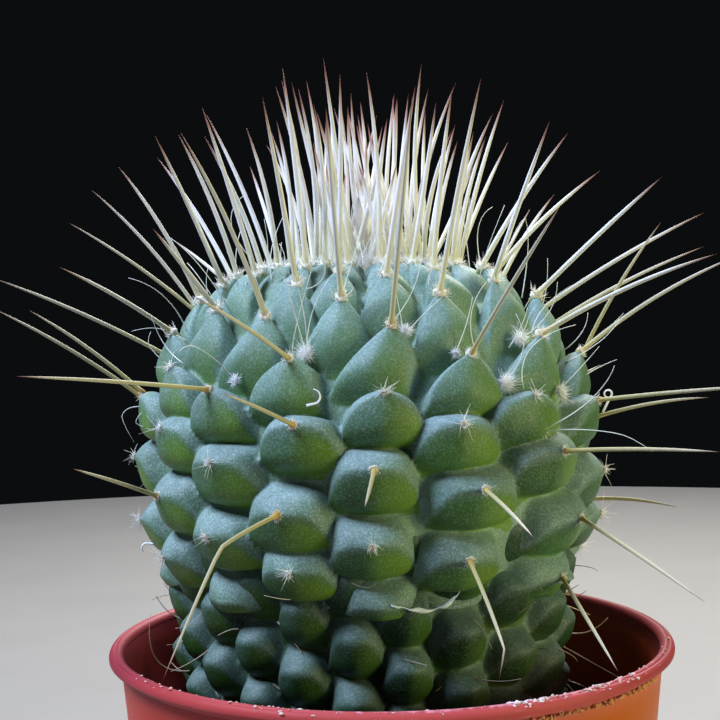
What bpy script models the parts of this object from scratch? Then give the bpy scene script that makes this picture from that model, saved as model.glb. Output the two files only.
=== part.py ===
"""A mammillaria with one long needle to a tubercle, in a small terracotta-coloured plastic pot.

Units are metres with Z up, and the origin is the middle of the pot's flat base. Azimuths are
degrees from the front (-Y), growing towards +X. The stem's surface is a lattice of tubercles
wound round a turned outline. Tubercle numbers grow upwards, and each number turns by one fixed
angle, so the neighbours of a tubercle are always the same few numbers away.
"""

import math

import bmesh
import bpy
import numpy as np

MM = 0.001
SEED = 2611

# Pot: a thin moulded cup with a rolled lip and drain holes round the middle of its base
POT_HEIGHT = 64.0 * MM
RIM_RADIUS = 38.0 * MM
WALL_TOP_RADIUS = 36.4 * MM
BASE_RADIUS = 30.5 * MM
WALL = 1.2 * MM
LIP_WIDTH = 2.0 * MM
LIP_HEIGHT = 2.3 * MM
LIP_ARC_POINTS = 7
BASE_ROUNDING = 1.0 * MM
DRAIN_HOLES = 6
DRAIN_RADIUS = 3.0 * MM
DRAIN_CIRCLE = 19.0 * MM
POT_SEGMENTS = 56
DRAIN_SEGMENTS = 12

# Soil: lumpy on top, with a plain hole that the stem's foot stands in
SOIL_TOP = 51.0 * MM
SOIL_LUMPS = 0.8 * MM
SOIL_SEGMENTS = 60
SOIL_RINGS = 4
HOLE_MOUTH = 25.3 * MM
HOLE_SHELF = 23.6 * MM
SHELF_DEPTH = 6.0 * MM
CLEARANCE = 0.3 * MM

# Stem: it stands a little to the left of the pot's middle. Each outline is a list of
# (radius, height above the lip's middle) in millimetres and runs through the tubercles' tips
STEM_OFFSET = -2.4 * MM
LIP_MIDDLE = POT_HEIGHT - LIP_WIDTH / 2
UPPER_OUTLINE = (
    (28.0, 9.0),
    (29.8, 13.5),
    (31.1, 19.0),
    (31.6, 24.5),
    (31.5, 30.0),
    (30.2, 35.6),
    (27.6, 40.8),
    (24.0, 45.6),
    (19.8, 49.2),
    (14.8, 51.0),
    (9.2, 51.6),
    (4.2, 51.3),
    (0.0, 51.0),
)
LOWER_OUTLINE = (
    (18.1, -23.4),
    (22.4, -18.5),
    (24.6, -12.5),
    (26.1, -6.7),
    (27.2, 0.2),
    (27.5, 5.6),
    (27.6, 10.5),
    (27.6, 14.5),
    (27.2, 23.5),
)
UPPER_ROOF = LIP_MIDDLE + 46.8 * MM
UPPER_FLOOR = LIP_MIDDLE + 4.0 * MM
LOWER_ROOF = LIP_MIDDLE + 26.0 * MM
FOOT_TIP = LIP_MIDDLE - 26.0 * MM

# Tubercle numbers: 0 is in the middle of the front, and the growing point is past the last one
UPPER_FIRST = -33
UPPER_LAST = 106
LOWER_FIRST = -56
LOWER_LAST = 28

# Irregular growth: the columns spread on the front right, the crown twists, and tips stray
SWELL = 12.8
SWELL_START = 16.7
SWELL_SPAN = 120.0
TWIST = 8.0
TWIST_START = LIP_MIDDLE + 38.0 * MM
TWIST_RISE = 8.0 * MM
STRAY = 0.05

# Tubercles that the photo shows aside of the regular lattice, as (degrees turned, mm up)
SHIFTED = {
    -33: (3.2, 0.2),
    -25: (-1.4, 0.8),
    -24: (2.0, 2.0),
    -17: (-2.0, -0.8),
    -16: (5.3, -0.7),
    -15: (1.0, -2.2),
    -10: (4.1, 0.2),
    -9: (-1.2, -1.1),
    -8: (1.4, 0.7),
    -7: (-1.9, -0.4),
    -2: (-6.0, -0.7),
    -1: (2.9, 0.6),
    0: (-1.2, -0.4),
    1: (-1.2, -0.4),
    2: (1.0, 0.5),
    7: (5.7, 0.2),
    8: (2.5, 0.9),
    9: (-2.6, 0.0),
    10: (-1.9, 0.1),
    15: (-0.1, -0.8),
    16: (0.1, 0.8),
    17: (1.5, 0.1),
    18: (-6.5, -1.8),
    24: (1.3, -0.6),
    25: (-2.2, 0.5),
    26: (0.8, 0.0),
    27: (5.1, -2.0),
    33: (2.1, 2.5),
    34: (-2.3, 0.4),
    35: (0.2, -2.5),
    40: (2.3, 1.4),
    42: (3.4, 0.9),
    43: (-7.0, 0.8),
    44: (0.0, -1.0),
    49: (6.0, 0.5),
    50: (7.0, 0.0),
    51: (-2.0, 1.5),
    52: (-3.0, -1.0),
}

# A tubercle's form: where its valley corners lie, and how its faceted sides fall from the tip.
# Young tubercles lean towards the growing point, so the valleys round them lie further out
CORNER_SHARE = 0.434
DROOP = 0.2
LEAN = 0.75
LEAN_START = LIP_MIDDLE + 28.0 * MM
LEAN_RISE = 18.0 * MM
SHOULDER_REACH = 0.7
SHOULDER_DEPTH = 0.42
RELIEF_POWER = 0.55

# Needles: one to an areole, a little bowed, with their roots sunk in the stem. Lengths are in
# millimetres as (middle, spread)
NEEDLE_RADIUS = 0.4 * MM
NEEDLE_TAPER = 0.74
NEEDLE_ROOT = 1.6 * MM
NEEDLE_SIDES = 3
SIDE_LENGTH = (23.5, 3.0)
CROWN_LENGTH = (21.5, 4.8)
CROWN_START = 18
CROWN_FADE = 20
SIDE_SPREAD = 0.26
CROWN_SPREAD = 0.18
CROWN_LEAN = 0.12
KEPT = -0.25

# Needles that were knocked off, and those set by hand as (azimuth, elevation, length in mm)
DROPPED = (-24, -23, -17, -14, -11, -2, -1, 6, 9, 11, 17, 18, 24)
SET_NEEDLES = {
    -33: (10, -17, 22),
    -25: (6, -14, 22),
    -16: (31, -17, 23),
    -15: (79, -5, 12),
    -10: (-45, 21, 13),
    -8: (9, -5, 22),
    0: (-7, -19, 9),
    1: (41, 4, 23),
    2: (79, 10, 16),
    8: (-13, 13, 25),
    10: (60, 6, 22),
    15: (-76, 33, 22),
    16: (-43, 7, 27),
    19: (77, 59, 22),
    23: (-75, 26, 26),
    25: (-20, 18, 25),
    26: (29, 42, 25),
    27: (76, 31, 24),
    28: (85, 27, 26),
    31: (-90, 51, 26),
    32: (-65, 31, 17),
    33: (-70, 66, 24),
    34: (13, 64, 28),
    35: (63, 23, 24),
    36: (80, 30, 26),
    40: (-90, 60, 21),
    41: (-60, 51, 13),
    42: (-5, 63, 24),
    43: (50, 75, 26),
    44: (60, 40, 23),
    48: (-119, 55, 23),
    49: (-35, 57, 22),
    50: (-30, 74, 23),
    51: (45, 76, 23),
    52: (34, 59, 22),
    53: (85, 43, 20),
    58: (-60, 72, 22),
    59: (13, 82, 24),
    60: (60, 82, 22),
    61: (70, 55, 21),
    67: (-60, 84, 25),
}

# Areoles that carry a second needle, just above the first
SECOND_NEEDLES = {15: (-80, 38, 18), 31: (-90, 37, 25)}
SECOND_RISE = 0.6 * MM

# The needle that is bent over at its middle: its number, how it points, and how far it is pushed
BENT = -9
BENT_WAY = (-27, -30, 27)
BENT_PUSH = 5.0 * MM

# Wool at the growing point, with the youngest needles on a spiral in it
WOOL_RADIUS = 5.6 * MM
WOOL_HEIGHT = 1.6 * MM
WOOL_EDGE = LIP_MIDDLE + 50.0 * MM
WOOL_LUMPS = 0.25 * MM
WOOL_RINGS = 4
WOOL_SEGMENTS = 18
YOUNG_NEEDLES = 26
YOUNG_RADIUS = 0.34 * MM
YOUNG_ROOT = 1.0 * MM
YOUNG_LENGTH = (18.0, 5.0)
YOUNG_SPREAD = 0.32
NEEDLE_GAP = 1.5 * MM
GOLDEN_ANGLE = math.pi * (3 - math.sqrt(5))

COLOURS = {
    "pot": (0.66, 0.16, 0.10, 1.0),
    "soil": (0.035, 0.024, 0.018, 1.0),
    "cactus": (0.10, 0.22, 0.11, 1.0),
    "crown_wool": (0.86, 0.84, 0.80, 1.0),
}
ROUGHNESS = {"pot": 0.45, "soil": 0.95, "cactus": 0.6, "crown_wool": 0.9}


def draws(stream, number, count):
    """Numbers between -1 and 1 that belong to one repeat of one kind and never change."""
    return np.random.default_rng((SEED, stream, number + 1000)).uniform(-1.0, 1.0, count)


def unit(vector):
    return vector / np.linalg.norm(vector)


def smooth_rise(value, start, span):
    """A share that rises smoothly from 0 to 1 over a span."""
    share = min(max((value - start) / span, 0.0), 1.0)
    return share * share * (3 - 2 * share)


def way(azimuth, elevation):
    """The direction that an azimuth and an elevation in degrees give."""
    turn = math.radians(azimuth)
    rise = math.radians(elevation)
    level = math.cos(rise)
    return np.array((level * math.sin(turn), -level * math.cos(turn), math.sin(rise)))


class Outline:
    """A smooth curve through (radius, height) points, read by the length along it."""

    def __init__(self, points, samples=40):
        knots = np.array(points) * MM + (0.0, LIP_MIDDLE)
        knots = np.vstack((2 * knots[0] - knots[1], knots, 2 * knots[-1] - knots[-2]))
        t = np.linspace(0.0, 1.0, samples, endpoint=False)[:, None]
        pieces = []
        for before, start, end, after in zip(knots, knots[1:], knots[2:], knots[3:]):
            pieces.append(
                start * (2 * t**3 - 3 * t**2 + 1)
                + (end - before) / 2 * (t**3 - 2 * t**2 + t)
                + end * (3 * t**2 - 2 * t**3)
                + (after - start) / 2 * (t**3 - t**2)
            )
        self.line = np.vstack((*pieces, knots[-2]))
        steps = np.linalg.norm(np.diff(self.line, axis=0), axis=1)
        self.length = np.concatenate(([0.0], np.cumsum(steps)))
        slope = np.gradient(self.line, self.length, axis=0)
        slope /= np.linalg.norm(slope, axis=1)[:, None]
        self.outward = np.column_stack((slope[:, 1], -slope[:, 0]))

    def spot(self, along):
        """(radius, height) at a length along the curve."""
        return [np.interp(along, self.length, self.line[:, k]) for k in (0, 1)]

    def facing(self, along):
        """The outward direction there, also as (radius, height)."""
        return unit(np.array([np.interp(along, self.length, self.outward[:, k]) for k in (0, 1)]))

    def at_height(self, height):
        """The length along the curve at its first crossing of a height."""
        return self.length[int(np.argmax(self.line[:, 1] >= height))]


class Lattice:
    """Tubercles wound round an outline. Adding right or left to a number moves up to a neighbour."""

    def __init__(
        self, outline, columns, right, left, start, height, pitch, aspect, relief, shifted
    ):
        self.outline = Outline(outline)
        self.columns = columns
        self.column_angle = 360.0 / columns
        self.right = right
        self.left = left
        self.start = start
        self.pitch = pitch
        self.aspect = aspect
        self.relief = relief
        self.shifted = shifted
        turns = next(k for k in range(columns) if k * right % columns == 1)
        self.turn = turns * self.column_angle
        self.along = {0: self.outline.at_height(LIP_MIDDLE + height)}

    def pitch_at(self, along):
        """How far apart two tubercles of one column lie: less where the crown narrows."""
        radius = max(self.outline.spot(along)[0], 0.5 * MM)
        return min(self.pitch, self.aspect * 2 * math.pi * radius / self.columns)

    def place(self, number):
        """The length along the outline of a tubercle's tip."""
        step = 1 if number > 0 else -1
        known = number
        while known not in self.along:
            known -= step
        while known != number:
            along = self.along[known]
            self.along[known + step] = along + step * self.pitch_at(along) / self.columns
            known += step
        return self.along[number]

    def azimuth(self, number):
        return self.start + self.turn * number

    def relief_at(self, along):
        """How far a tubercle stands out of the valleys round it."""
        return self.relief * (self.pitch_at(along) / self.pitch) ** RELIEF_POWER

    def grown(self, azimuth, along):
        """The azimuth that irregular growth moves a regular one to."""
        height = self.outline.spot(along)[1]
        share = ((azimuth - SWELL_START) % 360.0) / SWELL_SPAN
        swell = SWELL * math.sin(math.pi * share) ** 2 if share < 1.0 else 0.0
        return azimuth + swell + TWIST * smooth_rise(height, TWIST_START, TWIST_RISE)

    def point(self, azimuth, along, depth):
        """The point at a depth under the outline, along the way that tubercles lean there."""
        radius, height = self.outline.spot(along)
        out_radius, out_height = self.outline.facing(along)
        lean = LEAN * smooth_rise(height, LEAN_START, LEAN_RISE)
        radius = max(radius - depth * (out_radius - lean * out_height), 0.2 * MM)
        height -= depth * (out_height + lean * out_radius)
        angle = math.radians(self.grown(azimuth, along))
        x = STEM_OFFSET + radius * math.sin(angle)
        return np.array((x, -radius * math.cos(angle), height))

    def shift(self, number):
        """How far a tubercle stands from its regular place: degrees and a length."""
        if number in self.shifted:
            turned, up = self.shifted[number]
            return np.array((turned, up * MM))
        pitch = self.pitch_at(self.place(number))
        return STRAY * draws(0, number, 2) * (self.column_angle, pitch)

    def tip_spot(self, number):
        """The azimuth and the length of a tubercle's tip."""
        return self.shift(number) + (self.azimuth(number), self.place(number))

    def frame(self, number):
        """A tubercle's tip with its outward, rightward and upward directions."""
        azimuth, along = self.tip_spot(number)
        angle = math.radians(self.grown(azimuth, along))
        out_radius, out_height = self.outline.facing(along)
        level = np.array((math.sin(angle), -math.cos(angle), 0.0))
        outward = out_radius * level + np.array((0.0, 0.0, out_height))
        rightward = np.array((math.cos(angle), math.sin(angle), 0.0))
        upward = np.cross(outward, rightward)
        return self.point(azimuth, along, 0.0), outward, rightward, upward

    def corner_spot(self, number, side):
        """The valley corner up and to one side of a tubercle: azimuth, length and depth.

        It moves with the three tubercles that it lies between.
        """
        aside = self.right if side > 0 else self.left
        around = (number, number + aside, number + self.columns)
        moved, raised = sum(self.shift(near) for near in around) / 3
        low = self.place(number)
        high = self.place(number + self.columns)
        along = (low + high) / 2 - DROOP * (high - low) + raised
        azimuth = self.azimuth(number) + side * CORNER_SHARE * self.column_angle + moved
        return azimuth, along, self.relief_at(along)

    def corners_of(self, number):
        """The six valley corners round a tubercle, in turn, each as (number, side)."""
        return (
            (number - self.left, -1),
            (number, 1),
            (number, -1),
            (number - self.right, 1),
            (number - self.columns, -1),
            (number - self.columns, 1),
        )


def upper_lattice():
    """The zone of large tubercles, up to the growing point."""
    return Lattice(
        UPPER_OUTLINE,
        columns=17,
        right=9,
        left=8,
        start=2.8,
        height=27.9 * MM,
        pitch=8.63 * MM,
        aspect=1.0,
        relief=4.8 * MM,
        shifted=SHIFTED,
    )


def lower_lattice():
    """The narrower zone of old, small tubercles that stands in the soil."""
    return Lattice(
        LOWER_OUTLINE,
        columns=24,
        right=13,
        left=11,
        start=10.5,
        height=2.8 * MM,
        pitch=7.7 * MM,
        aspect=1.2,
        relief=3.5 * MM,
        shifted={},
    )


def near_turn(azimuth, reference):
    """The same azimuth, given within half a turn of the reference."""
    return reference + (azimuth - reference + 180.0) % 360.0 - 180.0


def mesh_object(name, mesh, collection=None):
    bmesh.ops.recalc_face_normals(mesh, faces=mesh.faces)
    data = bpy.data.meshes.new(name)
    mesh.to_mesh(data)
    mesh.free()
    made = bpy.data.objects.new(name, data)
    (collection or bpy.context.scene.collection).objects.link(made)
    return made


def tubercled_body(name, lattice, first, last, roof, floor, collection=None):
    """A closed solid: each tubercle has a tip, six shoulders and six shared valley corners."""
    mesh = bmesh.new()
    corners = {}
    for number in range(first, last + 1):
        azimuth, along = lattice.tip_spot(number)
        tip = mesh.verts.new(lattice.point(azimuth, along, 0.0))
        keys = lattice.corners_of(number)
        shoulders = []
        for key in keys:
            corner_azimuth, corner_along, depth = lattice.corner_spot(*key)
            if key not in corners:
                corners[key] = mesh.verts.new(lattice.point(corner_azimuth, corner_along, depth))
            aside = near_turn(corner_azimuth, azimuth) - azimuth
            shoulder = lattice.point(
                azimuth + SHOULDER_REACH * aside,
                along + SHOULDER_REACH * (corner_along - along),
                SHOULDER_DEPTH * lattice.relief_at(along),
            )
            shoulders.append(mesh.verts.new(shoulder))
        for k in range(6):
            after = (k + 1) % 6
            low = corners[keys[k]]
            low_after = corners[keys[after]]
            mesh.faces.new((tip, shoulders[k], shoulders[after]))
            mesh.faces.new((shoulders[k], low, shoulders[after]))
            mesh.faces.new((low, low_after, shoulders[after]))
    top = mesh.verts.new((STEM_OFFSET, 0.0, roof))
    bottom = mesh.verts.new((STEM_OFFSET, 0.0, floor))
    middle = lattice.point(0.0, (lattice.place(first) + lattice.place(last)) / 2, 0.0)[2]
    for edge in [edge for edge in mesh.edges if edge.is_boundary]:
        pole = top if edge.verts[0].co.z > middle else bottom
        mesh.faces.new((*edge.verts, pole))
    return mesh_object(name, mesh, collection)


class Needle:
    """A bowed needle: where it leaves its areole, how it points, and how far its middle is pushed."""

    def __init__(self, base, direction, length, bow):
        self.base = base
        self.direction = direction
        self.tip = base + length * direction
        self.middle = base + 0.5 * length * direction + bow

    def samples(self, count=40):
        """Points along its two straight lengths."""
        share = np.linspace(0.0, 1.0, count // 2)[:, None]
        low = self.base + share * (self.middle - self.base)
        high = self.middle + share * (self.tip - self.middle)
        return np.vstack((low, high))

    def mesh(self, name, radius, root, collection):
        """Its three-sided solid, with the root running on into what it grows from."""
        mesh = bmesh.new()
        across = unit(np.cross(self.direction, way(63.0, 28.0)))
        other = np.cross(self.direction, across)
        rings = []
        for centre, reach in (
            (self.base - root * self.direction, radius),
            (self.middle, NEEDLE_TAPER * radius),
        ):
            angles = [2 * math.pi * k / NEEDLE_SIDES for k in range(NEEDLE_SIDES)]
            spokes = [reach * (math.cos(a) * across + math.sin(a) * other) for a in angles]
            rings.append([mesh.verts.new(centre + spoke) for spoke in spokes])
        low, high = rings
        point = mesh.verts.new(self.tip)
        mesh.faces.new(low)
        for k in range(NEEDLE_SIDES):
            after = (k + 1) % NEEDLE_SIDES
            mesh.faces.new((low[k], low[after], high[k]))
            mesh.faces.new((low[after], high[after], high[k]))
            mesh.faces.new((high[k], high[after], point))
        return mesh_object(name, mesh, collection)


def stem_needle(lattice, number):
    """The needle of a tubercle, or None where it has dropped."""
    tip, outward, rightward, upward = lattice.frame(number)
    lean_right, lean_up, size, bend, kept, side = draws(1, number, 6)
    crown = min(max((number - CROWN_START) / CROWN_FADE, 0.0), 1.0)
    middle = SIDE_LENGTH[0] + crown * (CROWN_LENGTH[0] - SIDE_LENGTH[0])
    spread = SIDE_LENGTH[1] + crown * (CROWN_LENGTH[1] - SIDE_LENGTH[1])
    length = (middle + spread * size) * MM
    bow = length * (0.02 + 0.025 * abs(bend)) * (upward + side * rightward)
    if number == BENT:
        azimuth, elevation, reach = BENT_WAY
        return Needle(tip, way(azimuth, elevation), reach * MM, BENT_PUSH * upward)
    if number in SET_NEEDLES:
        azimuth, elevation, reach = SET_NEEDLES[number]
        return Needle(tip, way(azimuth, elevation), reach * MM, bow * reach * MM / length)
    if number in DROPPED or kept > KEPT + crown:
        return None
    lean = SIDE_SPREAD + crown * (CROWN_SPREAD - SIDE_SPREAD)
    away = crown * CROWN_LEAN * unit(tip - (STEM_OFFSET, 0.0, tip[2]))
    direction = unit(outward + away + lean * (lean_right * rightward + lean_up * upward))
    return Needle(tip, direction, length, bow)


def stem_needles():
    """Every needle that grows on the tubercles, by number."""
    lattice = upper_lattice()
    found = {n: stem_needle(lattice, n) for n in range(UPPER_FIRST, UPPER_LAST + 1)}
    for number, (azimuth, elevation, reach) in SECOND_NEEDLES.items():
        tip, outward, rightward, upward = lattice.frame(number)
        base = tip + SECOND_RISE * upward
        bow = 0.03 * reach * MM * upward
        found[f"{number}_second"] = Needle(base, way(azimuth, elevation), reach * MM, bow)
    return {number: needle for number, needle in found.items() if needle}


def new_collection(name):
    collection = bpy.data.collections.new(name)
    bpy.context.scene.collection.children.link(collection)
    return collection


def combined(body, operation, collection):
    """Applies one Boolean of a whole collection to the body, then removes the collection."""
    boolean = body.modifiers.new(operation.title(), "BOOLEAN")
    boolean.operation = operation
    boolean.operand_type = "COLLECTION"
    boolean.collection = collection
    boolean.solver = "EXACT"
    graph = bpy.context.evaluated_depsgraph_get()
    result = bpy.data.meshes.new_from_object(body.evaluated_get(graph))
    body.modifiers.clear()
    body.data = result
    for used in list(collection.objects):
        bpy.data.objects.remove(used)
    bpy.data.collections.remove(collection)
    return body


def make_cactus():
    """Both zones of tubercles and the needles, in one grown piece."""
    grown = new_collection("cactus_parts")
    upper = upper_lattice()
    body = tubercled_body("cactus", upper, UPPER_FIRST, UPPER_LAST, UPPER_ROOF, UPPER_FLOOR)
    lower = lower_lattice()
    tubercled_body("foot", lower, LOWER_FIRST, LOWER_LAST, LOWER_ROOF, FOOT_TIP, grown)
    for number, needle in stem_needles().items():
        needle.mesh(f"needle_{number}", NEEDLE_RADIUS, NEEDLE_ROOT, grown)
    return combined(body, "UNION", grown)


def wool_top(radius):
    """The height of the wool's domed top at a distance from the stem's axis."""
    return WOOL_EDGE + WOOL_HEIGHT * (1 - (radius / WOOL_RADIUS) ** 2)


def young_needles():
    """Needles on a spiral in the wool. One that would cross a tubercle's needle is drawn again."""
    others = np.vstack([needle.samples() for needle in stem_needles().values()])
    found = []
    for k in range(YOUNG_NEEDLES):
        radius = 0.86 * WOOL_RADIUS * math.sqrt((k + 0.5) / YOUNG_NEEDLES)
        angle = k * GOLDEN_ANGLE
        x = STEM_OFFSET + radius * math.sin(angle)
        base = np.array((x, -radius * math.cos(angle), wool_top(radius)))
        chance = np.random.default_rng((SEED, 2, k))
        while True:
            lean_x, lean_y = YOUNG_SPREAD * chance.uniform(-1.0, 1.0, 2)
            size, bend = chance.uniform(-1.0, 1.0, 2)
            direction = unit(np.array((lean_x, lean_y, 1.0)))
            length = (YOUNG_LENGTH[0] + YOUNG_LENGTH[1] * size) * MM
            bow = 0.03 * bend * length * np.array((math.cos(angle), math.sin(angle), 0.0))
            needle = Needle(base, direction, length, bow)
            gaps = np.linalg.norm(needle.samples()[:, None] - others[None], axis=2)
            if gaps.min() > NEEDLE_GAP:
                break
        found.append(needle)
    return found


def make_crown_wool():
    """A lumpy pad in the hollow at the growing point, with its young needles."""
    mesh = bmesh.new()
    low = mesh.verts.new((STEM_OFFSET, 0.0, UPPER_ROOF + 2 * CLEARANCE))
    top = mesh.verts.new((STEM_OFFSET, 0.0, wool_top(0.0)))
    loops = [[low] * WOOL_SEGMENTS]
    for ring in range(WOOL_RINGS):
        radius = WOOL_RADIUS * (1 - ring / WOOL_RINGS)
        loop = []
        for k in range(WOOL_SEGMENTS):
            angle = 2 * math.pi * k / WOOL_SEGMENTS
            lump, wobble = WOOL_LUMPS * draws(3, ring * WOOL_SEGMENTS + k, 2)
            reach = radius + (wobble if ring else 0.0)
            x = STEM_OFFSET + reach * math.sin(angle)
            loop.append(mesh.verts.new((x, -reach * math.cos(angle), wool_top(radius) + lump)))
        loops.append(loop)
    loops.append([top] * WOOL_SEGMENTS)
    for inner, outer in zip(loops, loops[1:]):
        for k in range(WOOL_SEGMENTS):
            after = (k + 1) % WOOL_SEGMENTS
            ring = dict.fromkeys((inner[k], inner[after], outer[after], outer[k]))
            mesh.faces.new(tuple(ring))
    body = mesh_object("crown_wool", mesh)
    young = new_collection("young_needles")
    for k, needle in enumerate(young_needles()):
        needle.mesh(f"young_{k}", YOUNG_RADIUS, YOUNG_ROOT, young)
    return combined(body, "UNION", young)


def wall_radius(height):
    """The outer radius of the pot's tapered wall."""
    share = height / (POT_HEIGHT - LIP_HEIGHT)
    return BASE_RADIUS + share * (WALL_TOP_RADIUS - BASE_RADIUS)


def turned(name, profile, segments):
    """A profile of (radius, height) points, from the axis to the axis, spun round it."""
    mesh = bmesh.new()
    points = [mesh.verts.new((radius, 0.0, height)) for radius, height in profile]
    edges = [mesh.edges.new(pair) for pair in zip(points, points[1:])]
    bmesh.ops.spin(
        mesh,
        geom=points + edges,
        cent=(0.0, 0.0, 0.0),
        axis=(0.0, 0.0, 1.0),
        angle=2 * math.pi,
        steps=segments,
        use_merge=True,
    )
    bmesh.ops.remove_doubles(mesh, verts=mesh.verts, dist=1e-6)
    return mesh_object(name, mesh)


def make_pot():
    """A tapered cup with a half-round lip that overhangs its wall, and a flat base."""
    under_lip = POT_HEIGHT - LIP_HEIGHT
    lip_round = LIP_WIDTH / 2
    lip_centre = RIM_RADIUS - lip_round
    lip = [
        (lip_centre + lip_round * math.cos(angle), LIP_MIDDLE + lip_round * math.sin(angle))
        for angle in np.linspace(0.0, math.pi, LIP_ARC_POINTS)
    ]
    profile = [
        (0.0, 0.0),
        (BASE_RADIUS - BASE_ROUNDING, 0.0),
        (wall_radius(BASE_ROUNDING), BASE_ROUNDING),
        (wall_radius(under_lip), under_lip),
        (RIM_RADIUS - 0.2 * LIP_WIDTH, under_lip + 0.1 * LIP_HEIGHT),
        *lip,
        (wall_radius(under_lip) - WALL, under_lip - WALL / 2),
        (wall_radius(2 * WALL) - WALL, 2 * WALL),
        (wall_radius(WALL) - 2 * WALL, WALL),
        (0.0, WALL),
    ]
    pot = turned("pot", profile, POT_SEGMENTS)
    holes = new_collection("drain_holes")
    for k in range(DRAIN_HOLES):
        turn = 360.0 * (k + 0.5) / DRAIN_HOLES
        mesh = bmesh.new()
        bmesh.ops.create_cone(
            mesh,
            cap_ends=True,
            segments=DRAIN_SEGMENTS,
            radius1=DRAIN_RADIUS,
            radius2=DRAIN_RADIUS,
            depth=6 * WALL,
        )
        bmesh.ops.translate(mesh, vec=DRAIN_CIRCLE * way(turn, 0.0), verts=mesh.verts)
        mesh_object(f"drain_{k}", mesh, holes)
    return combined(pot, "DIFFERENCE", holes)


def make_soil():
    """A plug that fills the pot. The rings run from the bottom of the hole over the top to the floor."""
    stem = np.array((STEM_OFFSET, 0.0))
    middle = np.zeros(2)
    surface = np.linspace(HOLE_MOUTH, wall_radius(SOIL_TOP) - WALL - CLEARANCE, SOIL_RINGS)
    rings = [
        (stem, 0.0, FOOT_TIP - CLEARANCE, 0.0),
        (stem, HOLE_SHELF, SOIL_TOP - SHELF_DEPTH, 0.0),
        (stem, HOLE_MOUTH, SOIL_TOP, SOIL_LUMPS),
        *[(middle, radius, SOIL_TOP, SOIL_LUMPS) for radius in surface[1:]],
        (middle, wall_radius(2 * WALL) - WALL - CLEARANCE, 2 * WALL + CLEARANCE, 0.0),
        (middle, wall_radius(WALL) - 2 * WALL - CLEARANCE, WALL + CLEARANCE, 0.0),
        (middle, 0.0, WALL + CLEARANCE, 0.0),
    ]
    mesh = bmesh.new()
    loops = []
    for index, (centre, radius, height, lumps) in enumerate(rings):
        if radius == 0.0:
            loops.append([mesh.verts.new((*centre, height))] * SOIL_SEGMENTS)
            continue
        loop = []
        for k in range(SOIL_SEGMENTS):
            angle = 2 * math.pi * k / SOIL_SEGMENTS
            x, y = centre + radius * np.array((math.sin(angle), -math.cos(angle)))
            lump = lumps * draws(4, index * SOIL_SEGMENTS + k, 1)[0]
            loop.append(mesh.verts.new((x, y, height + lump)))
        loops.append(loop)
    for inner, outer in zip(loops, loops[1:]):
        for k in range(SOIL_SEGMENTS):
            after = (k + 1) % SOIL_SEGMENTS
            ring = dict.fromkeys((inner[k], outer[k], outer[after], inner[after]))
            mesh.faces.new(tuple(ring))
    bmesh.ops.triangulate(mesh, faces=mesh.faces)
    return mesh_object("soil", mesh)


def finish(made):
    """Gives a piece its own material and smooth shading between its hard edges."""
    material = bpy.data.materials.new(made.name)
    material.use_nodes = True
    shader = material.node_tree.nodes["Principled BSDF"]
    shader.inputs["Base Color"].default_value = COLOURS[made.name]
    shader.inputs["Roughness"].default_value = ROUGHNESS[made.name]
    made.data.materials.clear()
    made.data.materials.append(material)
    made.data.shade_smooth()
    made.data.set_sharp_from_angle(angle=math.radians(40.0))


def main():
    for old in list(bpy.data.objects):
        bpy.data.objects.remove(old)
    for made in (make_pot(), make_soil(), make_cactus(), make_crown_wool()):
        finish(made)


main()
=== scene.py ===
"""The looks of a potted mammillaria that has one long needle to a tubercle.

Lengths are metres with Z up, and the origin is the middle of the pot's flat base, as in the
frame. Azimuths are degrees from the front (-Y), growing towards +X. The stem's surface is a
lattice of tubercles wound round a turned outline, with the same numbers as the solids have.
"""

import math
from dataclasses import dataclass

import bpy
import numpy as np
from bpy.props import FloatProperty, FloatVectorProperty, IntProperty, PointerProperty
from bpy.types import Operator, Panel, PropertyGroup
from mathutils import Matrix, Vector


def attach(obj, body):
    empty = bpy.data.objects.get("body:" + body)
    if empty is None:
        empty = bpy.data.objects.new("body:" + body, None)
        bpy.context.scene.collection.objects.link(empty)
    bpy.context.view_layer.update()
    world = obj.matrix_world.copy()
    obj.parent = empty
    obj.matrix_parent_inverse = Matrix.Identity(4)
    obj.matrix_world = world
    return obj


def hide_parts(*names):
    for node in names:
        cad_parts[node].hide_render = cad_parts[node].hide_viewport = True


bl_info = {
    "name": "Potted mammillaria",
    "version": (1, 0, 0),
    "blender": (4, 5, 0),
    "location": "3D View > Sidebar > Cactus",
    "description": "Builds a potted mammillaria's skin, needles, wool, pot and soil round its solids",
    "category": "Add Mesh",
}

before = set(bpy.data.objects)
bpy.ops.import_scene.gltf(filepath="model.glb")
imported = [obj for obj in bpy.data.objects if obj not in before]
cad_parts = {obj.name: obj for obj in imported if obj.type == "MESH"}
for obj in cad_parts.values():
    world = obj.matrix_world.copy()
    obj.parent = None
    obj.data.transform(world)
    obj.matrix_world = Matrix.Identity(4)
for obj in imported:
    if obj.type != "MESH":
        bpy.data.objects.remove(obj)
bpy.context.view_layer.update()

MM = 0.001
SEED = 2611
SEED_SHIFT = 1000
BODY = "root"

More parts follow.
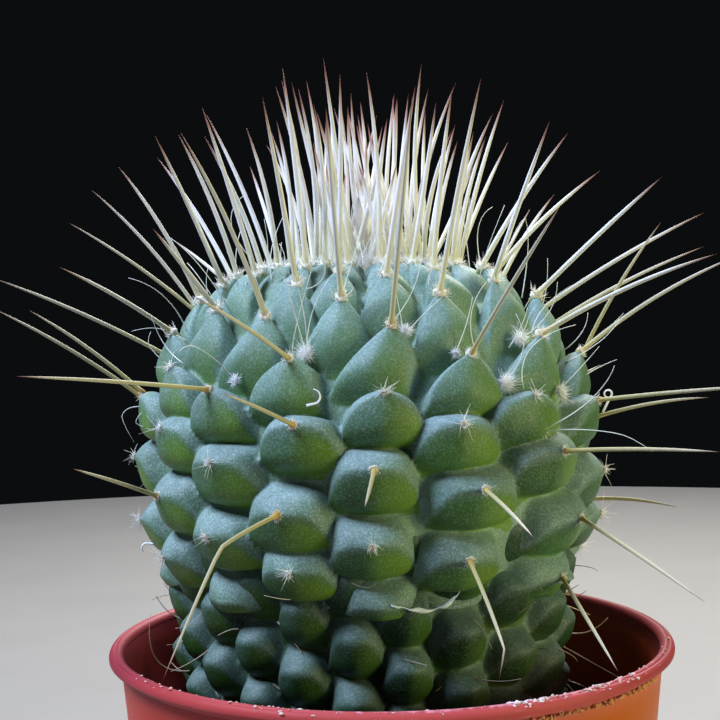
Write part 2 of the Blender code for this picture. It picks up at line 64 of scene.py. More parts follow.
# Pot: a thin moulded cup with a rolled lip and drain holes round the middle of its base
POT_HEIGHT = 64.0 * MM
RIM_RADIUS = 38.0 * MM
WALL_TOP_RADIUS = 36.4 * MM
BASE_RADIUS = 30.5 * MM
WALL = 1.2 * MM
LIP_WIDTH = 2.0 * MM
LIP_HEIGHT = 2.3 * MM
BASE_ROUNDING = 1.0 * MM
DRAIN_HOLES = 6
DRAIN_RADIUS = 3.0 * MM
DRAIN_CIRCLE = 19.0 * MM
POLE = 0.3 * MM
LIP_ARC = (-14.0, 194.0, 46)
GROOVE_DEPTH = 0.22 * MM
GROOVE_ANGLE = 78.0
GROOVE_WIDTH = 11.0
POT_SEGMENTS = 320
WALL_ROWS = 24
DRAIN_SEGMENTS = 40

# Soil
SOIL_TOP = 51.0 * MM
ROOT_DEPTH = 26.0 * MM
HOLE_MOUTH = 25.3 * MM
HOLE_SHELF = 23.6 * MM
SHELF_DEPTH = 6.0 * MM
CLEARANCE = 0.3 * MM
SOIL_SEGMENTS = 420
SOIL_ROWS = 64

# Stem outlines: (radius, height above the lip's middle) in millimetres, through the tips
STEM_OFFSET = -2.4 * MM
LIP_MIDDLE = POT_HEIGHT - LIP_WIDTH / 2
UPPER_OUTLINE = (
    (28.0, 9.0),
    (29.8, 13.5),
    (31.1, 19.0),
    (31.6, 24.5),
    (31.5, 30.0),
    (30.2, 35.6),
    (27.6, 40.8),
    (24.0, 45.6),
    (19.8, 49.2),
    (14.8, 51.0),
    (9.2, 51.6),
    (4.2, 51.3),
    (0.0, 51.0),
)
LOWER_OUTLINE = (
    (18.1, -23.4),
    (22.4, -18.5),
    (24.6, -12.5),
    (26.1, -6.7),
    (27.2, 0.2),
    (27.5, 5.6),
    (27.6, 10.5),
    (27.6, 14.5),
    (27.2, 23.5),
)

# Tubercle numbers: 0 is in the middle of the front
UPPER_FIRST = -33
UPPER_LAST = 106
LOWER_FIRST = -56
LOWER_LAST = 28

# Irregular growth
SWELL = 12.8
SWELL_START = 16.7
SWELL_SPAN = 120.0
TWIST = 8.0
TWIST_START = LIP_MIDDLE + 38.0 * MM
TWIST_RISE = 8.0 * MM
LEAN = 0.75
LEAN_START = LIP_MIDDLE + 28.0 * MM
LEAN_RISE = 18.0 * MM
RELIEF_FADE = 0.55
CROWN_RADIUS = 0.5 * MM
AXIS_GAP = 0.2 * MM
STRAY = 0.05
SHIFTED = {
    -33: (3.2, 0.2),
    -25: (-1.4, 0.8),
    -24: (2.0, 2.0),
    -17: (-2.0, -0.8),
    -16: (5.3, -0.7),
    -15: (1.0, -2.2),
    -10: (4.1, 0.2),
    -9: (-1.2, -1.1),
    -8: (1.4, 0.7),
    -7: (-1.9, -0.4),
    -2: (-6.0, -0.7),
    -1: (2.9, 0.6),
    0: (-1.2, -0.4),
    1: (-1.2, -0.4),
    2: (1.0, 0.5),
    7: (5.7, 0.2),
    8: (2.5, 0.9),
    9: (-2.6, 0.0),
    10: (-1.9, 0.1),
    15: (-0.1, -0.8),
    16: (0.1, 0.8),
    17: (1.5, 0.1),
    18: (-6.5, -1.8),
    24: (1.3, -0.6),
    25: (-2.2, 0.5),
    26: (0.8, 0.0),
    27: (5.1, -2.0),
    33: (2.1, 2.5),
    34: (-2.3, 0.4),
    35: (0.2, -2.5),
    40: (2.3, 1.4),
    42: (3.4, 0.9),
    43: (-7.0, 0.8),
    44: (0.0, -1.0),
    49: (6.0, 0.5),
    50: (7.0, 0.0),
    51: (-2.0, 1.5),
    52: (-3.0, -1.0),
}

# Skin: the grids' sizes and how a tubercle's surface falls from its tip
SKIN_COLUMNS = 480
UPPER_ROWS = 205
LOWER_ROWS = 110
WAIST = 0.5
FOOT = 0.2
CUSHION = (5.0, 3.0)
FILL = 0.42 * MM
SHARPER = 0.6
CREASE = (0.67, 0.76)
RIDGE = (0.06, 0.85)
ARCH = 9.0
NARROW = (0.62, 0.9)
KEEL = 0.04
DOWN = (0.5, 0.3)
UP = 0.75
LOWER_POWER = 1.1
UPPER_POWER = 1.5
TIP = 0.04
FACETS = 0.6
DEEPEST = 0.95
# Old growth is darker: partly its own colour, partly painted shade under the overhanging stem
OLD_SHADE = (0.28, 0.42, 0.46)
OLD_RELIEF = 1.15
SIZE_SPREAD = 0.07
SKIN_END = 0.985
DEEP = 9.0

# Needles
NEEDLE_RADIUS = 0.28 * MM
NEEDLE_ROOT = 1.2 * MM
NEEDLE_SIDES = 8
NEEDLE_RINGS = 18
SIDE_LENGTH = (23.5, 3.0)
CROWN_LENGTH = (21.5, 4.8)
CROWN_START = 18
CROWN_FADE = 20
SIDE_SPREAD = 0.26
CROWN_SPREAD = 0.18
CROWN_LEAN = 0.12
KEPT = -0.25
DROPPED = (-24, -23, -17, -14, -11, -2, -1, 6, 9, 11, 17, 18, 24)
SET_NEEDLES = {
    -33: (10, -17, 22),
    -25: (6, -14, 25),
    -16: (31, -17, 23),
    -15: (79, -5, 12),
    -10: (-45, 21, 13),
    -8: (9, -5, 22),
    0: (-7, -19, 9),
    1: (41, 4, 23),
    2: (79, 10, 16),
    8: (-13, 13, 25),
    10: (60, 6, 22),
    15: (-76, 33, 22),
    16: (-43, 7, 27),
    19: (77, 59, 22),
    23: (-75, 26, 26),
    25: (-20, 18, 25),
    26: (29, 42, 25),
    27: (76, 31, 24),
    28: (85, 27, 26),
    31: (-90, 51, 26),
    32: (-65, 31, 17),
    33: (-70, 66, 24),
    34: (13, 64, 28),
    35: (63, 23, 24),
    36: (80, 30, 26),
    40: (-90, 60, 21),
    41: (-60, 51, 13),
    42: (-5, 63, 24),
    43: (50, 75, 26),
    44: (60, 40, 23),
    48: (-119, 55, 23),
    49: (-35, 57, 22),
    50: (-30, 74, 23),
    51: (45, 76, 23),
    52: (34, 59, 22),
    53: (85, 43, 20),
    58: (-60, 72, 22),
    59: (13, 82, 24),
    60: (60, 82, 22),
    61: (70, 55, 21),
    67: (-60, 84, 25),
}

# Areoles that carry a second needle, just above the first
SECOND_NEEDLES = {15: (-80, 38, 18), 31: (-90, 37, 25)}
SECOND_RISE = 0.6 * MM
BENT = -9
BENT_WAY = (-27, -30, 27)
BENT_PUSH = 5.0 * MM
FOLDED = {-25: (-0.3, 0.87, -0.73)}
FOLD_START = 0.88
NEEDLE_YOUTH = (14.0, 40.0)
FRONT_WAY = 62
FRONT_BOW = 0.3
NEEDLE_BOW = (0.02, 0.025)
SLIGHT_BOW = 0.03
BULB = 0.45
BULB_LENGTH = 0.45 * MM
YOUNG_THICKER = 0.28

# Wool at the growing point
WOOL_RADIUS = 5.6 * MM
WOOL_HEIGHT = 1.6 * MM
WOOL_EDGE = LIP_MIDDLE + 50.0 * MM
WOOL_DEPTH = 2.2 * MM
WOOL_LUMPS = 0.3 * MM
WOOL_ROWS = 26
WOOL_SEGMENTS = 90
WOOL_HAIR = 0.055 * MM
YOUNG_NEEDLES = 26
YOUNG_RADIUS = 0.32 * MM
YOUNG_LENGTH = (18.0, 5.0)
YOUNG_SPREAD = 0.32
YOUNG_REACH = 0.86
NEEDLE_GAP = 1.5 * MM
GOLDEN_ANGLE = math.pi * (3 - math.sqrt(5))

# Hairs, lumps and the felt on the areoles
HAIR_RINGS = 5
HAIR_SIDES = 3
HAIR_LEAN = 0.35
HAIR_SIZES = (0.55, 1.1)
HAIR_TAPER = 0.75
LUMP_END = 0.12
FELT_YOUTH = (16.0, 30.0)
FELT_HAIRS = 118
CURLED_HAIRS = 26
PAD_WIDTH = (0.58 * MM, 0.8 * MM)
PAD_HEIGHT = (0.34 * MM, 0.62 * MM)
PAD_SUNK = 0.18 * MM
FELT_SUNK = 0.1 * MM
BARE_SHRINK = 0.45
FINE_HAIR = 0.035 * MM
CURLED_HAIR = 0.05 * MM

# Wool tufts in the axils: azimuth, height above the lip's middle in mm, radius in mm
TUFTS = (
    (-16, 41.6, 0.6),
    (-35, 38.3, 0.35),
    (12, 44.2, 0.45),
    (25, 41.3, 0.3),
    (37, 37.3, 0.65),
    (50, 42.5, 0.6),
    (58, 35.2, 0.55),
    (46, 30.8, 0.4),
)
TUFT_DEPTH = 1.9 * MM
TUFT_HAIRS = 380

# Bristles listed one by one. Root: azimuth and height above the lip's middle in mm. Then azimuth and
# elevation of their way, length, bow to the right and up, and hook to the right and up, in mm
BRISTLES = (
    (-16, 41.6, -50, 72, 10.3, 0.0, 0.0, 0.0, 0.0),
    (-16, 41.6, -39, 79, 9.9, 0.4, 0.0, 0.0, 0.0),
    (-16, 41.6, 57, 70, 9.9, -0.8, 0.3, 0.0, 0.0),
    (-35, 38.3, -59, 33, 9.2, -0.5, 1.5, 0.0, -0.8),
    (12, 44.2, 71, 43, 6.5, 0.0, 0.2, 0.0, 0.0),
    (12, 44.2, -50, 77, 7.4, 0.0, 0.0, -0.4, 0.0),
    (25, 41.3, 66, 70, 7.6, 0.3, 0.0, 0.0, 0.0),
    (37, 37.3, 48, 70, 8.9, 1.4, -0.3, -0.5, 0.4),
    (50, 42.5, 67, 51, 8.9, 1.2, -0.2, 0.0, 0.6),
    (46, 42.0, 60, 62, 5.6, 0.4, 0.2, 0.0, 0.0),
    (50, 42.5, 40, 60, 5.0, 0.5, 0.0, 0.8, 0.3),
    (58, 35.2, 78, 47, 8.2, 0.3, 0.2, 0.0, 0.0),
    (46, 30.8, 68, 40, 13.5, 1.0, -0.9, -0.6, -0.6),
    (46, 30.8, 67, -5, 13.9, 0.9, 0.8, 0.3, -0.9),
    (80, 39.0, 88, 34, 9.0, 0.0, -0.5, 0.0, 0.5),
    (80, 36.0, 89, 28, 6.5, 0.0, 0.3, 0.0, 0.0),
    (-80, 33.5, -88, -30, 5.5, -1.6, 1.4, 1.6, -1.6),
    (-78, 34.0, -80, -50, 4.5, -1.2, 0.4, 1.8, 0.4),
    (-76, 43.0, -88, 16, 7.0, 0.0, 0.9, -0.8, -0.2),
    (-82, 39.5, -86, 52, 5.6, -0.8, 0.0, 0.7, 0.4),
    (-50, 50.0, -60, 30, 3.2, -0.3, 0.8, 0.9, -1.0),
    (-82, 7.7, -79, 6, 2.9, 0.0, 0.0, -0.6, 1.6),
    (-82, 4.0, -85, 40, 5.8, -0.4, -0.7, 0.0, 0.0),
    (-74, -2.2, -83, 53, 9.7, -2.2, -2.5, 0.0, 0.0),
    (-49, 8.0, 60, -19, 4.3, 0.0, 0.0, 0.0, 0.0),
    (-27, 7.9, 56, -43, 5.2, 0.0, 0.0, 0.0, 0.0),
    (-72, 4.0, 66, -27, 5.7, 0.0, 0.0, 0.0, 0.0),
    (-61, -2.2, 44, -41, 2.9, 0.0, 0.0, 0.0, 0.0),
    (-30, -0.2, 61, -27, 6.1, 0.0, 0.0, 0.0, 0.0),
    (83, 6.7, 90, -9, 3.8, 0.0, 0.0, 0.3, 0.9),
    (83, 5.9, 93, 31, 3.5, 0.0, 0.0, 0.0, 0.0),
    (83, 1.8, 87, 12, 7.1, 0.3, -1.3, 0.0, 0.0),
    (83, -0.2, 82, -29, 9.4, 0.0, 0.0, 0.0, 0.0),
    (84, -4.8, 77, -19, 4.8, 0.0, 0.0, 0.0, 0.0),
    (37, -2.0, 61, -21, 4.5, 0.0, 0.0, 0.0, 0.0),
    (30, 2.4, -65, -31, 6.2, 0.0, 0.0, 0.0, 0.0),
    (42, 6.7, 63, 34, 4.8, 0.0, 0.0, 0.0, 0.0),
    (-6, 13.2, 70, -12, 4.0, 0.0, -0.3, 0.0, 0.6),
)
BRISTLE_DEPTH = 2.6 * MM
HOOK_START = 0.7
OLD_TOP = 10.0 * MM
ZONE_EDGE = 9.2 * MM

# Dry hairs that end in a curl: root azimuth and height above the lip's middle in mm, distance
# of the root from the outline, azimuth and elevation of their way, length, and the curl's
# radius in mm and turn in degrees
CURLS = (
    (-13, 35.0, 0.2, 80, 12, 1.0, 0.85, 165),
    (83, 31.0, 0.0, 80, 62, 2.5, 0.5, 400),
    (-70, 15.5, 0.5, -80, 10, 0.8, 0.6, 150),
    (-64, 47.0, 0.5, -80, 35, 1.4, 0.45, 230),
)
CURL_RADIUS = (0.16 * MM, 0.07 * MM)
CURL_RINGS = 26
CURL_STRAIGHT = 0.35
BRISTLE_RINGS = 12
BRISTLED_FROM = 18
OLD_BRISTLED = 0.6
AXIL = (1.6 * MM, 2.2 * MM, 1.2 * MM)
CROWN_BRISTLES = {"length": (5 * MM, 13 * MM), "lift": 0.5, "spread": 0.35}
OLD_BRISTLES = {"length": (2.5 * MM, 7 * MM), "lift": -0.2, "spread": 0.6}

# Lime on the lip: flecks as azimuth, half spread in degrees and count, and a crust below the lip
FLECKS = (
    (-22, 3.0, 16),
    (25, 4.5, 60),
    (32, 1.5, 14),
    (38, 1.6, 12),
    (42, 2.0, 26),
    (50, 2.0, 22),
    (8, 75.0, 70),
)
FLECK_SIZE = (0.08 * MM, 0.34 * MM)
FLECK_ARC = (35.0, 160.0)
CRUST_SPAN = (14.0, 64.0)
CRUST_GRAINS = 260
CRUST_DEPTH = 0.4
CRUST_DROP = 0.35

# The dry, papery edge of an old tubercle: azimuths and heights in mm along it
PAPER = ((5.0, 11.0), (8.5, 10.5), (12.0, 10.1), (16.0, 10.1), (19.5, 10.8), (21.5, 12.3))
PAPER_WIDTH = 0.34 * MM
PAPER_DEPTH = 0.3 * MM

# Camera: where it stands in front of the middle of the rim, and how it is turned
CAMERA_DISTANCE = 210.0 * MM
CAMERA_ELEVATION = 13.740
CAMERA_YAW = -0.961
CAMERA_PITCH = 10.546
CAMERA_ROLL = -1.033
CAMERA_FOCAL_PIXELS = 1511.9
PICTURE_PIXELS = 720
SENSOR_MM = 36.0

# Lights: place, size and colour, all turned to one point
LIT_POINT = (0.0, 0.0, 0.09)
LIGHTS = {
    "key": ((-0.36, -0.16, 0.62), 0.30, "#cfdfff"),
    "fill": ((0.52, -0.22, 0.12), 0.24, "#f4f0b4"),
    "back": ((0.12, 0.40, 0.46), 0.30, "#fffaf2"),
}


def linear(colour):
    """The linear red, green and blue of an sRGB hex colour."""
    values = [int(colour[k : k + 2], 16) / 255 for k in (1, 3, 5)]
    return tuple(v / 12.92 if v <= 0.04045 else ((v + 0.055) / 1.055) ** 2.4 for v in values)


def rgba(colour):
    """A socket's colour, from an sRGB hex colour or from linear red, green and blue."""
    return (*(linear(colour) if isinstance(colour, str) else colour), 1.0)


def draws(stream, number, count):
    """Numbers between -1 and 1 that belong to one repeat of one kind and never change."""
    return np.random.default_rng((SEED, stream, number + SEED_SHIFT)).uniform(-1.0, 1.0, count)


def unit(vectors):
    """Vectors brought to a length of one."""
    return vectors / np.linalg.norm(vectors, axis=-1, keepdims=True)


def between(limits, share):
    """The value at a share of the way from the first limit to the second."""
    return limits[0] + share * (limits[1] - limits[0])


def smooth_rise(value, start, span):
    """A share that rises smoothly from 0 to 1 over a span."""
    share = np.clip((value - start) / span, 0.0, 1.0)
    return share * share * (3 - 2 * share)


def smooth_min(first, second, reach):
    """The lower of two values, rounded where they come closer than a reach."""
    share = np.maximum(reach - np.abs(first - second), 0.0) / reach
    return np.minimum(first, second) - 0.25 * reach * share * share


def polar(radius, angle, height, centre=0.0):
    """Points round an upright axis: x = centre + r sin a, y = -r cos a, z = height."""
    x = centre + radius * np.sin(angle)
    return np.stack(np.broadcast_arrays(x, -radius * np.cos(angle), height), axis=-1)


def way(azimuth, elevation):
    """The direction that an azimuth and an elevation in degrees give."""
    rise = np.radians(elevation)
    return polar(np.cos(rise), np.radians(azimuth), np.sin(rise))


class Outline:
    """A smooth curve through (radius, height) points, read by the length along it."""

    def __init__(self, points, samples=40):
        knots = np.array(points) * MM + (0.0, LIP_MIDDLE)
        knots = np.vstack((2 * knots[0] - knots[1], knots, 2 * knots[-1] - knots[-2]))
        t = np.linspace(0.0, 1.0, samples, endpoint=False)[:, None]
        pieces = []
        for before, start, end, after in zip(knots, knots[1:], knots[2:], knots[3:]):
            pieces.append(
                start * (2 * t**3 - 3 * t**2 + 1)
                + (end - before) / 2 * (t**3 - 2 * t**2 + t)
                + end * (3 * t**2 - 2 * t**3)
                + (after - start) / 2 * (t**3 - t**2)
            )
        self.line = np.vstack((*pieces, knots[-2]))
        steps = np.linalg.norm(np.diff(self.line, axis=0), axis=1)
        self.length = np.concatenate(([0.0], np.cumsum(steps)))
        slope = unit(np.gradient(self.line, self.length, axis=0))
        self.outward = np.column_stack((slope[:, 1], -slope[:, 0]))

    def spot(self, along):
        """(radius, height) at a length along the curve."""
        return [np.interp(along, self.length, self.line[:, k]) for k in (0, 1)]

    def facing(self, along):
        """The outward direction there, also as (radius, height)."""
        out = [np.interp(along, self.length, self.outward[:, k]) for k in (0, 1)]
        size = np.hypot(*out)
        return out[0] / size, out[1] / size

    def at_height(self, height):
        """The length along the curve at its first crossing of a height."""
        return self.length[int(np.argmax(self.line[:, 1] >= height))]


class Lattice:
    """Tubercles wound round an outline. Adding right to a number moves up to the right."""

    def __init__(self, outline, columns, right, start, height, pitch, aspect, relief, shifted):
        self.outline = Outline(outline)
        self.columns = columns
        self.column_angle = 360.0 / columns
        self.start = start
        self.pitch = pitch
        self.aspect = aspect
        self.relief = relief
        self.shifted = shifted
        self.turn = next(k for k in range(columns) if k * right % columns == 1) * self.column_angle
        self.along = {0: self.outline.at_height(LIP_MIDDLE + height)}

    def pitch_at(self, along):
        """How far apart two tubercles of one column lie: less where the crown narrows."""
        radius = np.maximum(self.outline.spot(along)[0], CROWN_RADIUS)
        return np.minimum(self.pitch, self.aspect * 2 * math.pi * radius / self.columns)

    def place(self, number):
        """The length along the outline of a tubercle's tip."""
        step = 1 if number > 0 else -1
        known = number
        while known not in self.along:
            known -= step
        while known != number:
            along = self.along[known]
            self.along[known + step] = along + step * self.pitch_at(along) / self.columns
            known += step
        return self.along[number]

    def relief_at(self, along):
        """How far a tubercle stands out of the valleys round it."""
        return self.relief * (self.pitch_at(along) / self.pitch) ** RELIEF_FADE

    def grown(self, azimuth, along):
        """The azimuth that irregular growth moves a regular one to."""
        height = self.outline.spot(along)[1]
        share = ((azimuth - SWELL_START) % 360.0) / SWELL_SPAN
        swell = np.where(share < 1.0, SWELL * np.sin(math.pi * share) ** 2, 0.0)
        return azimuth + swell + TWIST * smooth_rise(height, TWIST_START, TWIST_RISE)

    def point(self, azimuth, along, depth):
        """The point at a depth under the outline, along the way that tubercles lean there."""
        radius, height = self.outline.spot(along)
        out_radius, out_height = self.outline.facing(along)
        lean = LEAN * smooth_rise(height, LEAN_START, LEAN_RISE)
        radius = np.maximum(radius - depth * (out_radius - lean * out_height), AXIS_GAP)
        height = height - depth * (out_height + lean * out_radius)
        return polar(radius, np.radians(self.grown(azimuth, along)), height, STEM_OFFSET)

    def tip_spot(self, number):
        """The azimuth and the length of a tubercle's tip, moved from its regular place."""
        along = self.place(number)
        if number in self.shifted:
            turned, up = self.shifted[number]
            moved = np.array((turned, up * MM))
        else:
            moved = STRAY * draws(0, number, 2) * (self.column_angle, self.pitch_at(along))
        return moved + (self.start + self.turn * number, along)

    def frame(self, number):
        """A tubercle's tip with its outward, rightward and upward directions."""
        azimuth, along = self.tip_spot(number)
        out_radius, out_height = self.outline.facing(along)
        level = way(self.grown(azimuth, along), 0.0)
        outward = out_radius * level + (0.0, 0.0, out_height)
        rightward = np.cross((0.0, 0.0, 1.0), level)
        return self.point(azimuth, along, 0.0), outward, rightward, np.cross(outward, rightward)

    def frames(self, numbers):
        """The tips, outward, rightward and upward directions of many tubercles, in four arrays."""
        return np.array([self.frame(number) for number in numbers]).swapaxes(0, 1)


def upper_lattice():
    """The zone of large tubercles, up to the growing point."""
    sizes = {"height": 27.9 * MM, "pitch": 8.63 * MM, "aspect": 1.0, "relief": 4.8 * MM}
    return Lattice(UPPER_OUTLINE, columns=17, right=9, start=2.8, shifted=SHIFTED, **sizes)


def lower_lattice():
    """The narrower zone of old, small tubercles that stands in the soil."""
    sizes = {"height": 2.8 * MM, "pitch": 7.7 * MM, "aspect": 1.2, "relief": 3.5 * MM}
    return Lattice(LOWER_OUTLINE, columns=24, right=13, start=10.5, shifted={}, **sizes)


def on_stem(azimuth, height, depth):
    """Points at a depth under the stem's outlines and their outward directions, in arrays."""
    zones = (lower_lattice().outline, upper_lattice().outline)
    own = [zones[int(level > ZONE_EDGE)] for level in height]
    along = [outline.at_height(LIP_MIDDLE + level) for outline, level in zip(own, height)]
    spot = np.array([outline.spot(length) for outline, length in zip(own, along)])
    facing = np.array([outline.facing(length) for outline, length in zip(own, along)])
    angle = np.radians(azimuth)
    radius, level = (spot - np.reshape(depth, (-1, 1)) * facing).T
    return polar(radius, angle, level, STEM_OFFSET), polar(facing[:, 0], angle, facing[:, 1])


@dataclass
class Needle:
    """A bowed needle: where it leaves its areole, how it points, and how far its middle is pushed."""

    base: np.ndarray
    direction: np.ndarray
    length: float
    bow: np.ndarray
    young: float = 0.0
    sharp: bool = False
    fold: tuple = (0.0, 0.0, 0.0)

    def samples(self):
        """Points along its two straight lengths."""
        middle = self.base + 0.5 * self.length * self.direction + self.bow
        tip = self.base + self.length * self.direction
        return np.vstack((np.linspace(self.base, middle, 20), np.linspace(middle, tip, 20)))


def stem_needle(lattice, number):
    """The needle of a tubercle, or None where it has dropped."""
    tip, outward, rightward, upward = lattice.frame(number)
    lean_right, lean_up, size, bend, kept, side = draws(1, number, 6)
    crown = min(max((number - CROWN_START) / CROWN_FADE, 0.0), 1.0)
    middle, spread = between((np.array(SIDE_LENGTH), np.array(CROWN_LENGTH)), crown)
    length = (middle + spread * size) * MM
    bow = (NEEDLE_BOW[0] + NEEDLE_BOW[1] * abs(bend)) * (upward + side * rightward)
    young = smooth_rise(number, *NEEDLE_YOUTH)
    if number == BENT:
        azimuth, elevation, reach = BENT_WAY
        return Needle(tip, way(azimuth, elevation), reach * MM, BENT_PUSH * upward, sharp=True)
    if number in SET_NEEDLES:
        azimuth, elevation, reach = SET_NEEDLES[number]
        bow = reach * MM * bow * (FRONT_BOW if abs(azimuth) < FRONT_WAY else 1.0)
        fold = FOLDED.get(number, (0.0, 0.0, 0.0))
        return Needle(tip, way(azimuth, elevation), reach * MM, bow, young, fold=fold)
    if number in DROPPED or kept > KEPT + crown:
        return None
    lean = between((SIDE_SPREAD, CROWN_SPREAD), crown)
    away = crown * CROWN_LEAN * unit(tip - (STEM_OFFSET, 0.0, tip[2]))
    direction = unit(outward + away + lean * (lean_right * rightward + lean_up * upward))
    return Needle(tip, direction, length, length * bow, young)


def stem_needles():
    """Every needle that grows on the tubercles, by number."""
    lattice = upper_lattice()
    found = {n: stem_needle(lattice, n) for n in range(UPPER_FIRST, UPPER_LAST + 1)}
    for number, (azimuth, elevation, reach) in SECOND_NEEDLES.items():
        tip, *_, upward = lattice.frame(number)
        bow = SLIGHT_BOW * reach * MM * upward
        base = tip + SECOND_RISE * upward
        found[f"{number}_second"] = Needle(base, way(azimuth, elevation), reach * MM, bow)
    return {number: needle for number, needle in found.items() if needle}


def wool_top(radius):
    """The height of the wool's domed top at a distance from the stem's axis."""
    return WOOL_EDGE + WOOL_HEIGHT * (1 - (radius / WOOL_RADIUS) ** 2)


def young_needles():
    """Needles on a spiral in the wool. One that would cross a tubercle's needle is drawn again."""
    others = np.vstack([needle.samples() for needle in stem_needles().values()])
    found = []
    for k in range(YOUNG_NEEDLES):
        radius = YOUNG_REACH * WOOL_RADIUS * math.sqrt((k + 0.5) / YOUNG_NEEDLES)
        angle = k * GOLDEN_ANGLE
        base = polar(radius, angle, wool_top(radius), STEM_OFFSET)
        chance = np.random.default_rng((SEED, 2, k))
        while True:
            lean_x, lean_y = YOUNG_SPREAD * chance.uniform(-1.0, 1.0, 2)
            size, bend = chance.uniform(-1.0, 1.0, 2)
            length = (YOUNG_LENGTH[0] + YOUNG_LENGTH[1] * size) * MM
            bow = SLIGHT_BOW * bend * length * np.array((math.cos(angle), math.sin(angle), 0.0))
            needle = Needle(base, unit(np.array((lean_x, lean_y, 1.0))), length, bow, 1.0)
            gaps = np.linalg.norm(needle.samples()[:, None] - others[None], axis=2)
            if gaps.min() > NEEDLE_GAP:
                break
        found.append(needle)
    return found


def set_attributes(mesh, attributes):
    """Gives a mesh its named attributes, with one value a point."""
    for key, values in attributes.items():
        layer = mesh.attributes.new(key, "FLOAT", "POINT")
        layer.data.foreach_set("value", np.asarray(values, dtype=np.float32).ravel())


def mesh_piece(name, points, faces, attributes=None):
    """A smooth-shaded object from arrays of points and faces, with its attributes."""
    mesh = bpy.data.meshes.new(name)
    mesh.from_pydata(points, [], faces)
    set_attributes(mesh, attributes or {})
    mesh.shade_smooth()
    made = bpy.data.objects.new(name, mesh)
    bpy.context.scene.collection.objects.link(made)
    return made


def finish(made, material, slot, *replaced):
    """Gives a piece its material, hangs it on the body and hides the solids it stands for."""
    made.data.materials.append(material)
    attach(made, BODY)
    if replaced:
        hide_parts(*replaced)


def add_piece(name, shape, material, slot, *replaced):
    """Adds a finished piece from its points, faces and attributes."""
    finish(mesh_piece(name, *shape), material, slot, *replaced)


def stacks(rings, poles=None):
    """Points and triangles of closed surfaces, each a stack of rings: (stack, ring, around, xyz).

    A pole closes each end: the middle of the end ring, unless poles are given, (stack, 2, xyz).
    """
    if poles is None:
        poles = rings[:, [0, -1]].mean(axis=2)
    count, levels, around, _ = rings.shape
    points = np.concatenate((rings.reshape(count, -1, 3), poles), axis=1)
    first = np.arange(around)
    second = (first + 1) % around
    floor = np.arange(levels - 1)[:, None] * around
    low, after = floor + first, floor + second
    walls = np.stack((low, after, after + around, low, after + around, low + around), axis=-1)
    top = (levels - 1) * around
    end = top + around
    start_cap = np.stack((second, first, np.full(around, end)), axis=-1)
    end_cap = np.stack((top + first, top + second, np.full(around, end + 1)), axis=-1)
    faces = np.concatenate((walls.reshape(-1, 3), start_cap, end_cap))
    faces = faces + np.arange(count)[:, None, None] * (end + 2)
    return points.reshape(-1, 3), faces.reshape(-1, 3)


def tubes(paths, radii, sides):
    """Points and triangles of round tubes along many paths at once, (tube, ring, xyz).

    A point is path(t) + radius(t) * (cos a * across + sin a * other), where across and other
    stand square to the path.
    """
    along = unit(np.gradient(paths, axis=1))
    helper = np.eye(3)[np.argmin(np.abs(along.mean(axis=1)), axis=1)][:, None, :]
    across = unit(np.cross(along, helper))
    other = np.cross(along, across)
    angle = 2 * math.pi * np.arange(sides)[:, None] / sides
    spokes = np.cos(angle) * across[:, :, None] + np.sin(angle) * other[:, :, None]
    return stacks(paths[:, :, None] + radii[:, :, None, None] * spokes, paths[:, [0, -1]])


def turned(profile, segments, centre=0.0):
    """Rings from a profile of (radius, height) turned round an upright axis."""
    angle = 2 * math.pi * np.arange(segments) / segments
    return polar(profile[:, :1], angle, profile[:, 1:], centre)


def route(*legs):
    """A profile along straight legs: a corner, then for each leg its steps and its far corner."""
    points = [np.reshape(legs[0], (1, 2))]
    for start, steps, end in zip(legs[::2], legs[1::2], legs[2::2]):
        points.append(np.linspace(start, end, steps + 1)[1:])
    return np.concatenate(points)


def blobs(middles, axes, stream, rough=0.22, rows=5, around=8):
    """Small lumps, all in one mesh: ellipsoids with three half axes each, (lump, axis, xyz).

    A point is middle + (sin p sin a, sin p cos a, -cos p) . axes * (1 + rough * a seeded value).
    """
    rng = np.random.default_rng((SEED, stream))
    from_end = np.linspace(LUMP_END, math.pi - LUMP_END, rows)[:, None]
    angle = 2 * math.pi * np.arange(around) / around
    level = np.sin(from_end)
    form = (level * np.sin(angle), level * np.cos(angle), -np.cos(from_end))
    form = np.stack(np.broadcast_arrays(*form), axis=-1)
    lumps = 1.0 + rough * rng.uniform(-1.0, 1.0, (len(middles), rows, around, 1))
    return stacks(middles[:, None, None] + (form @ axes[:, None]) * lumps)


def hairs(roots, outward, count, spread, length, curl, radius, stream, rings=HAIR_RINGS):
    """Seeded hairs from many roots, as tubes.

    A hair starts on a small disc round its root, leaves along the outward direction with a
    lean to its own side, and bends by t squared times a random curl.
    """
    rng = np.random.default_rng((SEED, stream))
    total = len(roots) * count
    out = np.repeat(outward, count, axis=0)
    across = unit(np.cross(out, (0.31, 0.52, 0.79)))
    angle = rng.uniform(0.0, 2 * math.pi, total)[:, None]
    reach = np.sqrt(rng.uniform(0.0, 1.0, total))[:, None]
    side = np.cos(angle) * across + np.sin(angle) * np.cross(out, across)
    spread, length = (np.repeat(np.broadcast_to(k, len(roots)), count) for k in (spread, length))
    start = np.repeat(roots, count, axis=0) + spread[:, None] * reach * side
    lean = reach + HAIR_LEAN * rng.normal(0.0, 1.0, (total, 1))
    direction = unit(out + lean * side)
    bend = curl * rng.normal(0.0, 1.0, (total, 3))
    t = np.linspace(0.0, 1.0, rings)[None, :, None]
    size = (length * rng.uniform(*HAIR_SIZES, total))[:, None, None]
    paths = start[:, None] + size * (t * direction[:, None] + t**2 * bend[:, None])
    radii = radius * (1.0 - HAIR_TAPER * t[..., 0]) + np.zeros((total, 1))
    return tubes(paths, radii, HAIR_SIDES)


